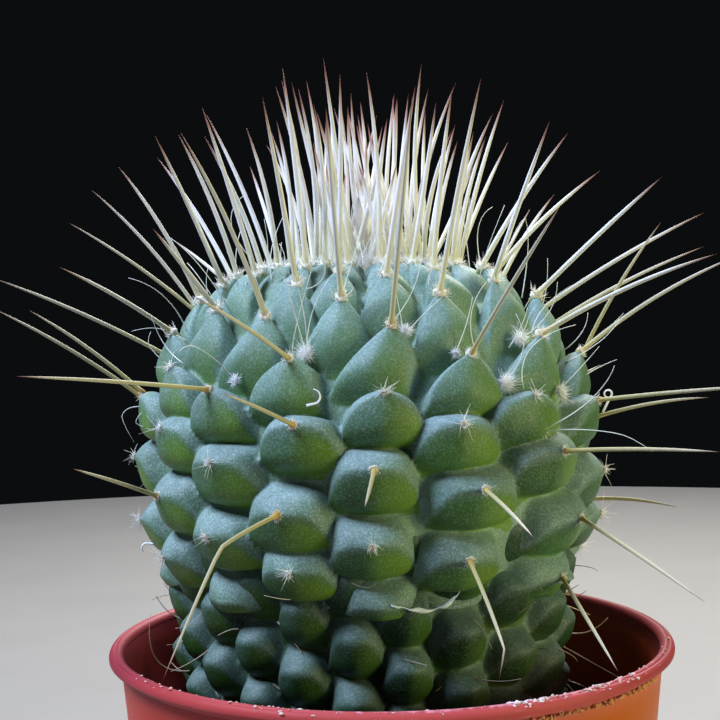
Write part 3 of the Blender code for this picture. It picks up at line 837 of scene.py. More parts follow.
def wavy(points, stream, size):
    """Smooth seeded noise of a place: sines along random directions, each octave half as large."""
    total = np.zeros(points.shape[:-1])
    for octave in range(4):
        for k in range(5):
            turn = draws(stream, octave * 5 + k, 4)
            direction = unit(turn[:3]) * 2 * math.pi / (size * 0.5**octave)
            total += 0.5**octave * np.sin(points @ direction + 3 * turn[3] * math.pi)
    return total / 5


def node(tree, kind, inputs=None, **settings):
    """Adds a shader node, with its settings and its inputs."""
    made = tree.nodes.new("ShaderNode" + kind)
    for key, value in settings.items():
        setattr(made, key, value)
    feed(made, inputs or {})
    return made


def feed(made, inputs):
    """Fills a node's inputs, each from a socket to link or from a value or colour."""
    for key, value in inputs.items():
        socket = made.inputs[key]
        if isinstance(value, bpy.types.NodeSocket):
            made.id_data.links.new(value, socket)
        else:
            socket.default_value = rgba(value) if socket.type == "RGBA" else value


def scatter(weight, *reach):
    """The shader's inputs for light that passes under the surface, by a reach in millimetres."""
    radius = [value * MM for value in reach]
    return {"Subsurface Weight": weight, "Subsurface Radius": radius, "Subsurface Scale": 1.0}


class Look:
    """A material in the making. Each method adds one node to it and returns an output."""

    def __init__(self, name):
        self.material = bpy.data.materials.new(name)
        self.material.use_nodes = True
        self.tree = self.material.node_tree
        self.place = node(self.tree, "TexCoord").outputs["Object"]

    def attribute(self, name):
        """A piece's own attribute."""
        return node(self.tree, "Attribute", attribute_name=name).outputs["Fac"]

    def parts(self, vector):
        """The X, Y and Z of a vector."""
        return node(self.tree, "SeparateXYZ", {"Vector": vector}).outputs

    def noise(self, size, detail, roughness=0.5, place=None):
        """Cloudy noise whose clouds are about a size in millimetres."""
        inputs = {"Vector": place or self.place, "Scale": 1.0 / (size * MM)}
        inputs.update({"Detail": detail, "Roughness": roughness})
        return node(self.tree, "TexNoise", inputs).outputs["Fac"]

    def span(self, value, start, end, low=0.0, high=1.0):
        """Low where a value is at start, and high where it is at end."""
        inputs = {"Value": value, "From Min": start, "From Max": end}
        inputs.update({"To Min": low, "To Max": high})
        return node(self.tree, "MapRange", inputs).outputs["Result"]

    def math(self, operation, *values):
        """An arithmetic operation."""
        return node(self.tree, "Math", dict(enumerate(values)), operation=operation).outputs[0]

    def times(self, first, second):
        """The product of two values."""
        return self.math("MULTIPLY", first, second)

    def plus_times(self, first, second, factor):
        """The first value plus the second times a factor."""
        return self.math("MULTIPLY_ADD", second, factor, first)

    def mix(self, share, first, second, blend_type="MIX"):
        """A share of the second colour over the first."""
        inputs = {0: share, 6: first, 7: second}
        return node(self.tree, "Mix", inputs, data_type="RGBA", blend_type=blend_type).outputs[2]

    def ramp(self, share, *stops):
        """A colour ramp through (place, colour) stops."""
        made = node(self.tree, "ValToRGB", {"Fac": share})
        elements = made.color_ramp.elements
        while len(elements) < len(stops):
            elements.new(1.0)
        for element, (place, colour) in zip(elements, stops):
            element.position = place
            element.color = rgba(colour)
        return made.outputs["Color"]

    def bump(self, strength, distance, height):
        """A normal from a height, for grain finer than the mesh."""
        inputs = {"Strength": strength, "Distance": distance, "Height": height}
        return node(self.tree, "Bump", inputs).outputs["Normal"]

    def done(self, colour, roughness, specular=0.5, **inputs):
        """The finished material, with its colour, roughness, shine and other shader inputs."""
        shader = self.tree.nodes["Principled BSDF"]
        feed(shader, {"Base Color": colour, "Roughness": roughness, "Specular IOR Level": specular})
        feed(shader, inputs)
        return self.material


def patchy(name, size, detail, roughness, *stops):
    """A matt material whose colours change in clouds of a size in millimetres."""
    look = Look(name)
    return look.done(look.ramp(look.noise(size, detail), *stops), roughness)


def plastic(settings):
    """Polypropylene, injection moulded: satin, saturated and a little see-into, with hard-water lime."""
    look = Look("moulded polypropylene")
    x, y, z = (look.parts(look.place)[key] for key in "XYZ")
    tint = look.ramp(look.noise(22.0, 4.0), (0.3, settings.colour), (0.72, settings.faded))
    # The wall under the lip turns orange on the right side: partly sun-faded plastic, partly painted
    # warm light from the right
    below = look.span(z, POT_HEIGHT - 1.5 * MM, POT_HEIGHT - 2.3 * MM)
    faded_and_warm_lit = look.times(look.span(x, 10.0 * MM, 26.0 * MM), below)
    tint = look.mix(faded_and_warm_lit, tint, settings.warm_lit_side)
    # Scuffs show as short pale streaks round the wall
    stretched = node(look.tree, "Mapping", {"Vector": look.place, "Scale": (1.0, 1.0, 9.0)})
    scuff = look.noise(3.0, 8.0, place=stretched.outputs["Vector"])
    scuff = look.times(look.span(scuff, 0.62, 0.8, high=0.35), look.math("SUBTRACT", 1.0, faded_and_warm_lit))
    tint = look.mix(scuff, tint, "#d8968a")
    # Painted shade: the lip is darker towards the back
    lip = look.span(z, POT_HEIGHT - 3.0 * MM, POT_HEIGHT - 2.0 * MM)
    back_lip_shade = look.times(look.span(y, -34.0 * MM, -16.0 * MM, high=0.8), lip)
    tint = look.mix(back_lip_shade, tint, "#7c2130")
    # Dried lime clings to the lip
    lime = look.attribute("lime")
    crust = look.span(look.times(lime, look.noise(1.1, 9.0, 0.7)), 0.36, 0.46)
    dusty = look.plus_times(crust, lime, 0.3)
    tint = look.mix(dusty, tint, "#e5929e")
    # Painted shade inside the pot, in patches, lighter red towards the right as painted warm light
    inner_shade_patches = look.span(look.noise(7.0, 6.0), 0.3, 0.6, 0.7, 0.95)
    inner_shade_colour = look.ramp(faded_and_warm_lit, (0.0, "#330b10"), (1.0, "#8a3226"))
    tint = look.mix(look.times(look.attribute("inside"), inner_shade_patches), tint, inner_shade_colour)
    relief = look.plus_times(look.noise(0.5, 3.0), crust, 3.0)
    grain = {"Normal": look.bump(0.35, 0.1 * MM, relief), **scatter(0.12, 1.5, 0.4, 0.25)}
    return look.done(tint, look.span(dusty, 0.0, 1.0, 0.42, 0.85), 0.1, **grain)


def peat(settings):
    """Potting peat with grit: crumbly, matt and nearly black where it is damp."""
    look = Look("damp peat")
    inputs = {"Vector": look.place, "Scale": 1.0 / (1.3 * MM), "Randomness": 1.0}
    crumbs = node(look.tree, "TexVoronoi", inputs).outputs["Distance"]
    fine = look.noise(0.8, 8.0, 0.7)
    tint = look.ramp(fine, (0.3, "#140d09"), (0.55, settings.colour), (0.75, "#57422f"))
    bump = look.bump(0.8, 0.5 * MM, look.plus_times(fine, crumbs, -0.8))
    return look.done(tint, 0.95, Normal=bump)


def waxy_skin(name, settings, old):
    """Cactus epidermis: fleshy and light-passing under a thin bloom of wax.

    To the eye it is a satin green. The upper faces and ridges are blue-grey, partly from its waxy bloom
    and partly from a painted sheen of cool light from the upper left. The lower faces carry painted
    shade, and those on the right painted warm light. It is yellow-green in the valleys, partly painted
    light, and dusted with a fine white frost.
    """
    look = Look(name)
    youth = look.attribute("youth")
    # Old growth is darker: partly its own colour, partly painted shade under the overhanging stem
    shade = np.array(OLD_SHADE if old else (1.0, 1.0, 1.0))
    green, deep_green, warm_lit_green = (
        shade * colour for colour in (settings.green, settings.deep_green, settings.bare)
    )
    flesh = look.ramp(look.noise(9.0, 5.0), (0.3, deep_green), (0.7, green))
    # Young tubercles are paler
    flesh = look.mix(look.times(youth, 0.45), flesh, "#6a9472")
    # Painted shade and painted warm light: under the ridges the pale bloom is taken away, and on the
    # right of each keel the face turns a warm-lit green
    under = look.span(look.attribute("above"), 0.04, -0.16)
    under = look.times(under, look.span(youth, 0.0, 1.0, 1.0, 0.3))
    bare = look.times(under, look.span(look.attribute("right_of"), -0.2, 0.5))
    unshaded_share = look.plus_times(look.plus_times(1.0, under, -0.35), bare, -0.5)
    flesh = look.mix(bare, flesh, warm_lit_green)
    # Yellow-green in the valleys, partly the flesh's own colour and partly painted light from the warm
    # light on the right: more on the right side, which is marked for painted warm light, and less on old
    # growth
    warm_lit_side = look.span(look.parts(look.place)["X"], -30.0 * MM, 32.0 * MM, 0.15)
    valley_tint_and_glow = look.times(look.span(look.attribute("height"), 0.5, 0.0), warm_lit_side)
    valley_tint_and_glow = look.times(valley_tint_and_glow, 0.25 if old else 0.8)
    flesh = look.mix(valley_tint_and_glow, flesh, settings.valley_tint_and_glow)
    # Waxy bloom and a painted sheen of cool light: faces that look up and to the left are paler, and
    # lower ones less so
    facing = look.parts(node(look.tree, "NewGeometry").outputs["Normal"])
    upward = look.span(look.plus_times(facing["Z"], facing["X"], -0.3), -0.2, 0.85)
    # The cap above the ridges is pale on every side, partly bloom and partly painted light, and most on
    # the right side
    cap = look.times(look.math("SUBTRACT", 1.0, under), look.plus_times(0.4, warm_lit_side, 0.45))
    upward = look.times(look.math("MAXIMUM", upward, cap), unshaded_share)
    mottle = look.span(look.noise(1.6, 8.0, 0.65), 0.3, 0.7, 0.55)
    wax_and_sheen = look.times(look.times(upward, mottle), 0.45 if old else 0.84)
    # The pale colour is bluer towards the right: painted light
    tint = look.mix(wax_and_sheen, flesh, look.mix(warm_lit_side, settings.wax_and_sheen, "#8aa4b0"))
    # Frost: pale grains 0.1 to 0.2 mm across that break up the wax
    frost = look.span(look.noise(0.24, 2.0), 0.46, 0.7, high=0.4 if old else 0.68)
    frost = look.times(frost, look.span(wax_and_sheen, 0.0, 1.0, 0.25))
    tint = look.mix(frost, tint, "#b7ccc9")
    bump = look.bump(0.35, 0.08 * MM, look.noise(0.35, 4.0))
    rough = look.span(wax_and_sheen, 0.0, 1.0, 0.5, 0.7)
    return look.done(tint, rough, 0.3, Normal=bump, **scatter(0.08, 0.7, 1.2, 0.3))


def horn():
    """Spine tissue: horny, hard and a little see-through, straw to ivory with a red-brown tip."""
    look = Look("horny spine")
    along = look.attribute("along")
    old = look.ramp(
        along,
        (0.0, "#b07f3c"),
        (0.025, "#bda75e"),
        (0.1, "#b3ab76"),
        (0.35, "#b1ab84"),
        (0.86, "#bbb39f"),
        (1.0, "#7d4a3d"),
    )
    new = look.ramp(
        along,
        (0.0, "#d6d0a4"),
        (0.08, "#e2e0cc"),
        (0.3, "#eeeef0"),
        (0.74, "#ecebee"),
        (0.9, "#b28980"),
        (0.98, "#642723"),
    )
    tint = look.mix(look.attribute("youth"), old, new)
    # Each needle is a little lighter or yellower than the next
    warmer = look.span(look.attribute("tint"), -0.6, 1.0, high=0.32)
    tint = look.mix(warmer, tint, "#e3d493", "MULTIPLY")
    return look.done(tint, look.span(look.noise(2.5, 2.0), 0.0, 1.0, 0.45, 0.7), 0.35)


def wool(name, white, cream):
    """Plant wool and felt: loose matt hairs, white when young and cream with age."""
    look = Look(name)
    patches = look.plus_times(look.noise(3.0, 3.0), look.attribute("whiteness"), 0.3)
    tint = look.ramp(patches, (0.35, cream), (0.7, white))
    return look.done(tint, 0.85, 0.25, **scatter(0.3, 0.6, 0.6, 0.6))


def fine_horn():
    """Fine old spines: horny and dull, white near the crown and brown-grey low down."""
    look = Look("fine bristle")
    height = look.span(look.parts(look.place)["Z"], LIP_MIDDLE - 2 * MM, LIP_MIDDLE + 30 * MM)
    return look.done(look.ramp(height, (0.0, "#a08c78"), (0.35, "#b5ad96"), (0.8, "#e6eae2")), 0.5)


def colour_setting(name, description, colour):
    """A colour that the panel shows."""
    limits = {"subtype": "COLOR", "size": 3, "min": 0.0, "max": 1.0}
    return FloatVectorProperty(name=name, description=description, default=linear(colour), **limits)


def length_setting(name, description, length, least=0.0):
    """A length in metres."""
    limits = {"subtype": "DISTANCE", "unit": "LENGTH", "min": least}
    return FloatProperty(name=name, description=description, default=length, **limits)


def power_setting(name, description, power):
    """A light's power in watts."""
    limits = {"subtype": "POWER", "unit": "POWER", "min": 0.0}
    return FloatProperty(name=name, description=description, default=power, **limits)


def share_setting(name, description, share, least=0.0, most=1.0):
    """A share of the full amount."""
    limits = {"subtype": "FACTOR", "min": least, "max": most}
    return FloatProperty(name=name, description=description, default=share, **limits)


def count_setting(name, description, count):
    """A number of repeats."""
    return IntProperty(name=name, description=description, default=count, min=0)


class CactusPotSettings(PropertyGroup):
    """Colours of the pot."""

    colour: colour_setting("Plastic", "Colour of the moulded plastic", "#b3332c")
    # The orange of the wall's right side: partly sun-faded plastic, partly painted warm light
    warm_lit_side: colour_setting("Sunned plastic", "Colour of the wall on its sunny side", "#b85a08")
    faded: colour_setting("Faded plastic", "Colour of the plastic's faded patches", "#bd4235")
    lime: share_setting("Lime", "How much dried lime clings to the lip", 1.0)


class CactusSoilSettings(PropertyGroup):
    """Sizes and colours of the potting soil."""

    lumps: length_setting("Lumps", "Height of the soil's lumps", 0.8 * MM)
    colour: colour_setting("Peat", "Colour of the damp peat", "#2b1f18")
    grains: count_setting("Grit grains", "How many grains of grit lie in the soil", 260)


class CactusSkinSettings(PropertyGroup):
    """Sizes and colours of the stem's skin."""

    relief: share_setting("Relief", "Height of the tubercles beside the solids'", 0.9, 0.2, 1.2)
    green: colour_setting("Green", "Colour of the flesh", "#3c6a2c")
    deep_green: colour_setting("Deep green", "Colour of the flesh's darker patches", "#234717")
    # Painted warm light: the saturated green of the lower faces on the right of each keel
    bare: colour_setting("Bare green", "Colour of the faces that have little wax", "#5a7d12")
    # Partly the valleys' own colour, partly painted light
    valley_tint_and_glow: colour_setting("Valleys", "Colour of the skin between the tubercles", "#6b9130")
    # Waxy bloom with a painted sheen of cool light
    wax_and_sheen: colour_setting("Wax", "Colour of the wax on the upper faces", "#8da19f")


class CactusNeedleSettings(PropertyGroup):
    """Sizes of the needles."""

    radius: length_setting("Radius", "Radius above the areole", NEEDLE_RADIUS, 0.05 * MM)
    young_radius: length_setting("Young radius", "Radius in the wool", YOUNG_RADIUS, 0.05 * MM)


class CactusWoolSettings(PropertyGroup):
    """Sizes and colours of the wool, felt and bristles."""

    hairs: count_setting("Crown hairs", "How many hairs stand at the growing point", 1100)
    length: length_setting("Hair length", "Length of the hairs there", 3.2 * MM)
    white: colour_setting("White", "Colour of young wool", "#fbfbfc")
    cream: colour_setting("Cream", "Colour of older wool", "#e6dfc9")
    bristle_radius: length_setting(
        "Bristle radius", "Radius of the thin bristles in the axils", 0.08 * MM, 0.01 * MM
    )


class CactusStageSettings(PropertyGroup):
    """The floor and the light."""

    floor_radius: length_setting("Floor radius", "Radius of the round floor", 0.6, 0.1)
    floor: colour_setting("Floor", "Colour of the floor", "#8d8b87")
    surroundings: colour_setting("Surroundings", "Colour of the space round it", "#0b0d0e")
    key: power_setting("Key light", "Power of the cool light from the upper left", 9.0)
    fill: power_setting("Fill light", "Power of the warm light from the right", 2.2)
    back: power_setting("Back light", "Power of the light from behind", 5.0)


def wall_radius(height):
    """The outer radius of the pot's tapered wall."""
    return between((BASE_RADIUS, WALL_TOP_RADIUS), height / (POT_HEIGHT - LIP_HEIGHT))


def pot_profile():
    """The pot's section, from the middle under its base round the lip to the middle of its floor.

    The lip is half a circle with a shallow groove: its radius loses a bell curve of the angle.
    """
    under_lip = POT_HEIGHT - LIP_HEIGHT
    angles = np.linspace(*LIP_ARC)
    groove = GROOVE_DEPTH * np.exp(-(((angles - GROOVE_ANGLE) / GROOVE_WIDTH) ** 2))
    reach = LIP_WIDTH / 2 - groove
    lip_radius = RIM_RADIUS - LIP_WIDTH / 2 + reach * np.cos(np.radians(angles))
    lip_height = LIP_MIDDLE + reach * np.sin(np.radians(angles))
    outer = np.linspace(BASE_ROUNDING, under_lip, WALL_ROWS)[1:]
    inner = np.linspace(under_lip - WALL / 2, 2 * WALL, WALL_ROWS)
    corner = np.radians(np.linspace(-90.0, 0.0, 6))[1:]
    foot = wall_radius(BASE_ROUNDING) - BASE_ROUNDING
    round_foot = (foot + BASE_ROUNDING * np.cos(corner), BASE_ROUNDING * (1.0 + np.sin(corner)))
    return np.concatenate(
        (
            route((POLE, 0.0), 11, (foot, 0.0)),
            np.column_stack(round_foot),
            np.column_stack((wall_radius(outer), outer)),
            np.column_stack((lip_radius, lip_height)),
            np.column_stack((wall_radius(inner) - WALL, inner)),
            ((wall_radius(WALL) - 2 * WALL, WALL),),
            route((BASE_RADIUS - 4 * WALL, WALL), 9, (POLE, WALL)),
        )
    )


def pierce(pot, context):
    """Cuts the drain holes into the pot's base."""
    turn = 360.0 * (np.arange(DRAIN_HOLES) + 0.5) / DRAIN_HOLES
    rise = np.linspace((0.0, 0.0, -3 * WALL), (0.0, 0.0, 3 * WALL), 3)
    paths = (DRAIN_CIRCLE * way(turn, 0.0))[:, None] + rise
    bores = tubes(paths, np.full((DRAIN_HOLES, 3), DRAIN_RADIUS), DRAIN_SEGMENTS)
    cutter = mesh_piece("drain_cutter", *bores)
    boolean = pot.modifiers.new("Drain holes", "BOOLEAN")
    boolean.operation = "DIFFERENCE"
    boolean.object = cutter
    boolean.solver = "EXACT"
    graph = context.evaluated_depsgraph_get()
    pierced = bpy.data.meshes.new_from_object(pot.evaluated_get(graph))
    pot.modifiers.clear()
    pot.data = pierced
    bpy.data.objects.remove(cutter)
    pierced.shade_smooth()
    pierced.set_sharp_from_angle(angle=math.radians(50.0))


def lime_flecks(settings):
    """Crumbs of dried lime on the lip and a crust of soil and lime in the corner under it."""
    rng = np.random.default_rng((SEED, 31))
    middle, half_spread, count = np.array(FLECKS).T
    count = count.astype(int)
    flecks = count.sum()
    spread = np.repeat(half_spread, count) * rng.uniform(-1.0, 1.0, flecks)
    round_lip = np.radians(rng.uniform(*FLECK_ARC, flecks))
    below = rng.uniform(*CRUST_SPAN, CRUST_GRAINS)
    azimuth = np.radians(np.concatenate((np.repeat(middle, count) + spread, below)))
    half = LIP_WIDTH / 2
    lip_radius = RIM_RADIUS - half + half * np.cos(round_lip)
    crust_radius = WALL_TOP_RADIUS + rng.uniform(0.0, CRUST_DEPTH, CRUST_GRAINS) * MM
    lip_height = LIP_MIDDLE + half * np.sin(round_lip)
    crust_height = POT_HEIGHT - LIP_HEIGHT - rng.uniform(0.0, CRUST_DROP, CRUST_GRAINS) * MM
    radius = np.concatenate((lip_radius, crust_radius))
    middles = polar(radius, azimuth, np.concatenate((lip_height, crust_height)))
    size = between(FLECK_SIZE, rng.uniform(0.0, 1.0, len(azimuth)) ** 2)
    stretch = rng.uniform(0.5, 1.4, (len(azimuth), 3)) * (1.0, 1.0, 0.6)
    axes = (size[:, None] * stretch)[:, :, None] * np.eye(3)
    kept = rng.uniform(0.0, 1.0, len(azimuth)) < settings.lime
    upper = np.arange(len(azimuth)) < flecks
    on_lip, under = kept & upper, kept & ~upper
    lime = patchy("dried lime", 1.2, 3.0, 0.9, (0.35, "#cf9f94"), (0.6, "#efe3e2"))
    form = {"rough": 0.35, "rows": 4, "around": 7}
    grains = blobs(middles[on_lip], axes[on_lip], 32, **form)
    add_piece("lime_flecks", grains, lime, "pot")
    grains = blobs(middles[under], 1.3 * axes[under], 33, **form)
    add_piece("lip_crust", grains, Look("soil crust").done("#c98f62", 0.95), "pot")


class CACTUS_OT_make_pot(Operator):
    """Build the moulded pot with its rolled lip, drain holes and dried lime"""

    bl_idname = "cactus.make_pot"
    bl_label = "Pot"

    def execute(self, context):
        settings = context.scene.cactus_pot
        pot = mesh_piece("pot_shell", *stacks(turned(pot_profile(), POT_SEGMENTS)[None]))
        pierce(pot, context)
        place = np.empty(len(pot.data.vertices) * 3)
        pot.data.vertices.foreach_get("co", place)
        x, y, height = place.reshape(-1, 3).T
        radius = np.hypot(x, y)
        azimuth = np.degrees(np.arctan2(x, -y))
        # Lime is thickest on the front and right of the lip, and rings its inner edge
        near_lip = smooth_rise(height, POT_HEIGHT - 3.4 * MM, 1.6 * MM)
        front = 0.35 + 0.65 * np.exp(-(((azimuth - 22.0) / 55.0) ** 2))
        inner_edge = 1.0 - smooth_rise(radius, RIM_RADIUS - 1.6 * MM, 1.5 * MM)
        lime = settings.lime * near_lip * front * (0.55 + 0.45 * inner_edge)
        # Where the painted shade inside the pot goes
        inside = (radius < wall_radius(height) - 0.6 * WALL) * (height > 1.5 * WALL)
        inside = inside * (1.0 - smooth_rise(height, POT_HEIGHT - 3.2 * MM, 2.4 * MM))
        set_attributes(pot.data, {"lime": lime, "inside": inside})
        finish(pot, plastic(settings), "pot", "pot")
        lime_flecks(settings)
        return {"FINISHED"}


def soil_rings():
    """The soil's rings, from the bottom of the stem's hole over the lumpy top to the pot's floor."""
    wall = wall_radius(SOIL_TOP) - WALL - CLEARANCE
    profile = route(
        (POLE, LIP_MIDDLE - ROOT_DEPTH - CLEARANCE),
        5,
        (HOLE_SHELF, SOIL_TOP - SHELF_DEPTH),
        5,
        (HOLE_MOUTH, SOIL_TOP),
        SOIL_ROWS - 1,
        (wall, SOIL_TOP),
        5,
        (wall_radius(2 * WALL) - WALL - CLEARANCE, 3 * WALL),
        1,
        (POLE, WALL + CLEARANCE),
    )
    rings = turned(profile, SOIL_SEGMENTS)
    share = np.clip((wall - profile[:, :1]) / (wall - HOLE_MOUTH), 0.0, 1.0)
    rings[:, :, 0] += STEM_OFFSET * share * (profile[:, 1:] > 4 * WALL)
    return rings


def soil_grains(count):
    """Grit grains bedded in the soil's top."""
    rng = np.random.default_rng((SEED, 9))
    inner = HOLE_MOUTH + 2.5 * MM
    outer = wall_radius(SOIL_TOP) - WALL - 2.0 * MM
    radius = between((inner, outer), np.sqrt(rng.uniform(0.0, 1.0, count)))
    middles = polar(radius, rng.uniform(0.0, 2 * math.pi, count), SOIL_TOP + 0.25 * MM)
    stretch = rng.uniform(0.7, 1.3, (count, 3)) * (1.0, 1.0, 0.7)
    axes = (rng.uniform(0.4, 1.1, count)[:, None] * stretch * MM)[:, :, None] * np.eye(3)
    return blobs(middles, axes, 10)


class CACTUS_OT_make_soil(Operator):
    """Build the lumpy potting soil with its grit"""

    bl_idname = "cactus.make_soil"
    bl_label = "Soil"

    def execute(self, context):
        settings = context.scene.cactus_soil
        rings = soil_rings()
        top = np.abs(rings[:, :, 2] - SOIL_TOP) < 0.1 * MM
        lumps = wavy(rings, 7, 6.0 * MM) + 0.5 * np.abs(wavy(rings, 8, 1.6 * MM))
        rings[:, :, 2] += settings.lumps * top * lumps
        add_piece("soil_plug", stacks(rings[None]), peat(settings), "soil", "soil")
        # Horticultural grit: small matt stones from buff to grey
        stops = ((0.3, "#5d5346"), (0.5, "#8d8069"), (0.7, "#b7ac98"))
        stone = patchy("horticultural grit", 4.0, 6.0, 0.85, *stops)
        add_piece("soil_grit", soil_grains(settings.grains), stone, "soil")
        return {"FINISHED"}


def tubercle_depth(x, y, low, youth, cushion):
    """How far a tubercle's skin lies under its tip, as a share of its relief, and the way up.

    x is the offset in columns and y in pitches. Facets: two ridges fall to the left and right
    of the tip in arches, and a keel falls straight down, so depth is a power mean of NARROW |x|
    and of the way down or up from the ridges. Cushion: a power mean of |x| / WAIST and 2 |v|,
    where v = y + low - 1/2 is the height from the middle of the cell, and the foot is narrower.
    """
    aside = np.sqrt(x**2 + KEEL**2) - KEEL
    level = y + between(RIDGE, youth) * aside + ARCH * aside**4
    down = between(DOWN, youth) * np.maximum(-level, 0.0) / low
    up = UP * np.maximum(level, 0.0) / (1.0 - low)
    across = between(NARROW, youth) * aside / WAIST
    below = (across**LOWER_POWER + down**LOWER_POWER) ** (1 / LOWER_POWER)
    above = (across**UPPER_POWER + up**UPPER_POWER) ** (1 / UPPER_POWER)
    facets = np.where(level < 0.0, below, above)
    facets = np.sqrt(facets**2 + TIP**2) - TIP
    middle = y + low - 0.5
    waist = WAIST * (1.0 - FOOT * np.maximum(-middle, 0.0))
    edge = (aside / waist) ** cushion + (2 * np.abs(middle)) ** cushion
    return FACETS * facets + (1.0 - FACETS) * edge, level


def skin(lattice, numbers, rows, relief, creased):
    """The points, faces and attributes of a zone's closed skin, from a grid of (rows, columns).

    A grid point lies under the outline by the least of the depths that the tubercles round it
    give, rounded where two meet. Its attributes are its height as a share of its tubercle's
    relief, how far right of the keel it is, how far above the ridges, and the zone's youth. The
    poles take the mean of the end rings' attributes.
    """
    along = np.linspace(0.0, SKIN_END * lattice.outline.length[-1], rows)
    gap = along[1] - along[0]
    step = 360.0 / SKIN_COLUMNS
    depth = np.full((rows, SKIN_COLUMNS), DEEP)
    right_of = np.zeros((rows, SKIN_COLUMNS))
    above = np.zeros((rows, SKIN_COLUMNS))
    wide = int(1.15 * lattice.column_angle / step) + 1
    for number in numbers:
        tip_azimuth, tip_along = lattice.tip_spot(number)
        pitch = lattice.pitch_at(tip_along)
        height = lattice.outline.spot(tip_along)[1]
        youth = float(smooth_rise(height, LEAN_START, LEAN_RISE)) if creased else 0.0
        low = max(int((tip_along - 1.3 * pitch) / gap), 0)
        high = min(int((tip_along + pitch) / gap) + 2, rows)
        if high <= low:
            continue
        columns = np.arange(-wide, wide + 1) + int(round(tip_azimuth / step))
        x = ((columns * step - tip_azimuth) / lattice.column_angle)[None]
        y = ((along[low:high] - tip_along) / pitch)[:, None]
        size = relief * lattice.relief_at(tip_along) * (1 + SIZE_SPREAD * draws(5, number, 1)[0])
        cushion = CUSHION[0] if creased else CUSHION[1]
        own, level = tubercle_depth(x, y, between(CREASE, youth), youth, cushion)
        cell = np.ix_(np.arange(low, high), columns % SKIN_COLUMNS)
        nearer = size * own < depth[cell]
        right_of[cell] = np.where(nearer, 2 * x, right_of[cell])
        above[cell] = np.where(nearer, level, above[cell])
        depth[cell] = smooth_min(depth[cell], size * own, FILL * (1.0 - SHARPER * youth))
    limit = relief * DEEPEST * lattice.relief_at(along)[:, None]
    depth = smooth_min(depth, limit, FILL)
    points = lattice.point(step * np.arange(SKIN_COLUMNS), along[:, None], depth)
    youth = creased * smooth_rise(points[..., 2], LEAN_START, LEAN_RISE)
    grids = {"height": 1.0 - depth / limit, "right_of": right_of, "above": above, "youth": youth}
    for key, grid in grids.items():
        grids[key] = np.concatenate((grid.ravel(), grid[[0, -1]].mean(axis=1)))
    return *stacks(points[None]), grids


class CACTUS_OT_make_skin(Operator):
    """Build both zones of the stem's faceted, waxy skin"""

    bl_idname = "cactus.make_skin"
    bl_label = "Stem skin"

    def execute(self, context):
        settings = context.scene.cactus_skin
        numbers = range(UPPER_FIRST - 20, UPPER_LAST + 15)
        young = skin(upper_lattice(), numbers, UPPER_ROWS, settings.relief, True)
        material = waxy_skin("waxy epidermis", settings, False)
        add_piece("upper_stem", young, material, "cactus", "cactus")
        numbers = range(LOWER_FIRST, LOWER_LAST + 25)
        old = skin(lower_lattice(), numbers, LOWER_ROWS, OLD_RELIEF * settings.relief, False)
        material = waxy_skin("old epidermis", settings, True)
        add_piece("lower_stem", old, material, "cactus", "cactus")
        return {"FINISHED"}


def tube_values(values, sides):
    """One value a point of tubes, from one value a ring, (tube, ring)."""
    return np.concatenate((np.repeat(values, sides, axis=1), values[:, [0, -1]]), axis=1)


def needle_tubes(needles, radius):
    """The needles' points, faces and attributes.

    The path is base + t L direction + (1 - |2t - 1|^p) bow, with p near 1 where it is bent, and
    a tip can be folded aside from FOLD_START on. The radius is R (1 - 0.3 t - 0.68 t^5), more on
    young ones, with a bulb at the root.
    """
    base, direction, bow, fold = (
        np.array([getattr(needle, key) for needle in needles])[:, None]
        for key in ("base", "direction", "bow", "fold")
    )
    length = np.array([needle.length for needle in needles])[:, None]
    start = -NEEDLE_ROOT / length
    share = np.concatenate(((0.0, 0.05, 0.09, 0.14), np.linspace(0.2, 1.0, NEEDLE_RINGS - 4)))
    t = start + (1.0 - start) * share
    power = np.array([1.12 if needle.sharp else 2.0 for needle in needles])[:, None]
    arch = np.where(t > 0.0, 1.0 - np.abs(2.0 * t - 1.0) ** power, 0.0)
    paths = base + t[..., None] * length[..., None] * direction + arch[..., None] * bow
    paths += np.maximum(t - FOLD_START, 0.0)[..., None] * length[..., None] * fold
    grown = np.maximum(t, 0.0)
    youth = np.array([needle.young for needle in needles])[:, None] + 0.0 * t
    tint = np.array([draws(6, k, 1) for k in range(len(needles))]) + 0.0 * t
    radii = radius * (1.0 + YOUNG_THICKER * youth) * (1.0 - 0.3 * grown - 0.68 * grown**5)
    radii += BULB * radius * np.exp(-((t * length / BULB_LENGTH) ** 2))
    values = {"along": grown, "youth": youth, "tint": tint}
    values = {key: tube_values(rings, NEEDLE_SIDES) for key, rings in values.items()}
    return *tubes(paths, radii, NEEDLE_SIDES), values


class CACTUS_OT_make_needles(Operator):
    """Build the long needles on the tubercles and the youngest ones in the wool"""

    bl_idname = "cactus.make_needles"
    bl_label = "Needles"

    def execute(self, context):
        settings = context.scene.cactus_needles
        material = horn()
        grown = needle_tubes(list(stem_needles().values()), settings.radius)
        add_piece("needles", grown, material, "cactus", "cactus")
        young = needle_tubes(young_needles(), settings.young_radius)
        add_piece("young_needles", young, material, "wool", "crown_wool")
        return {"FINISHED"}


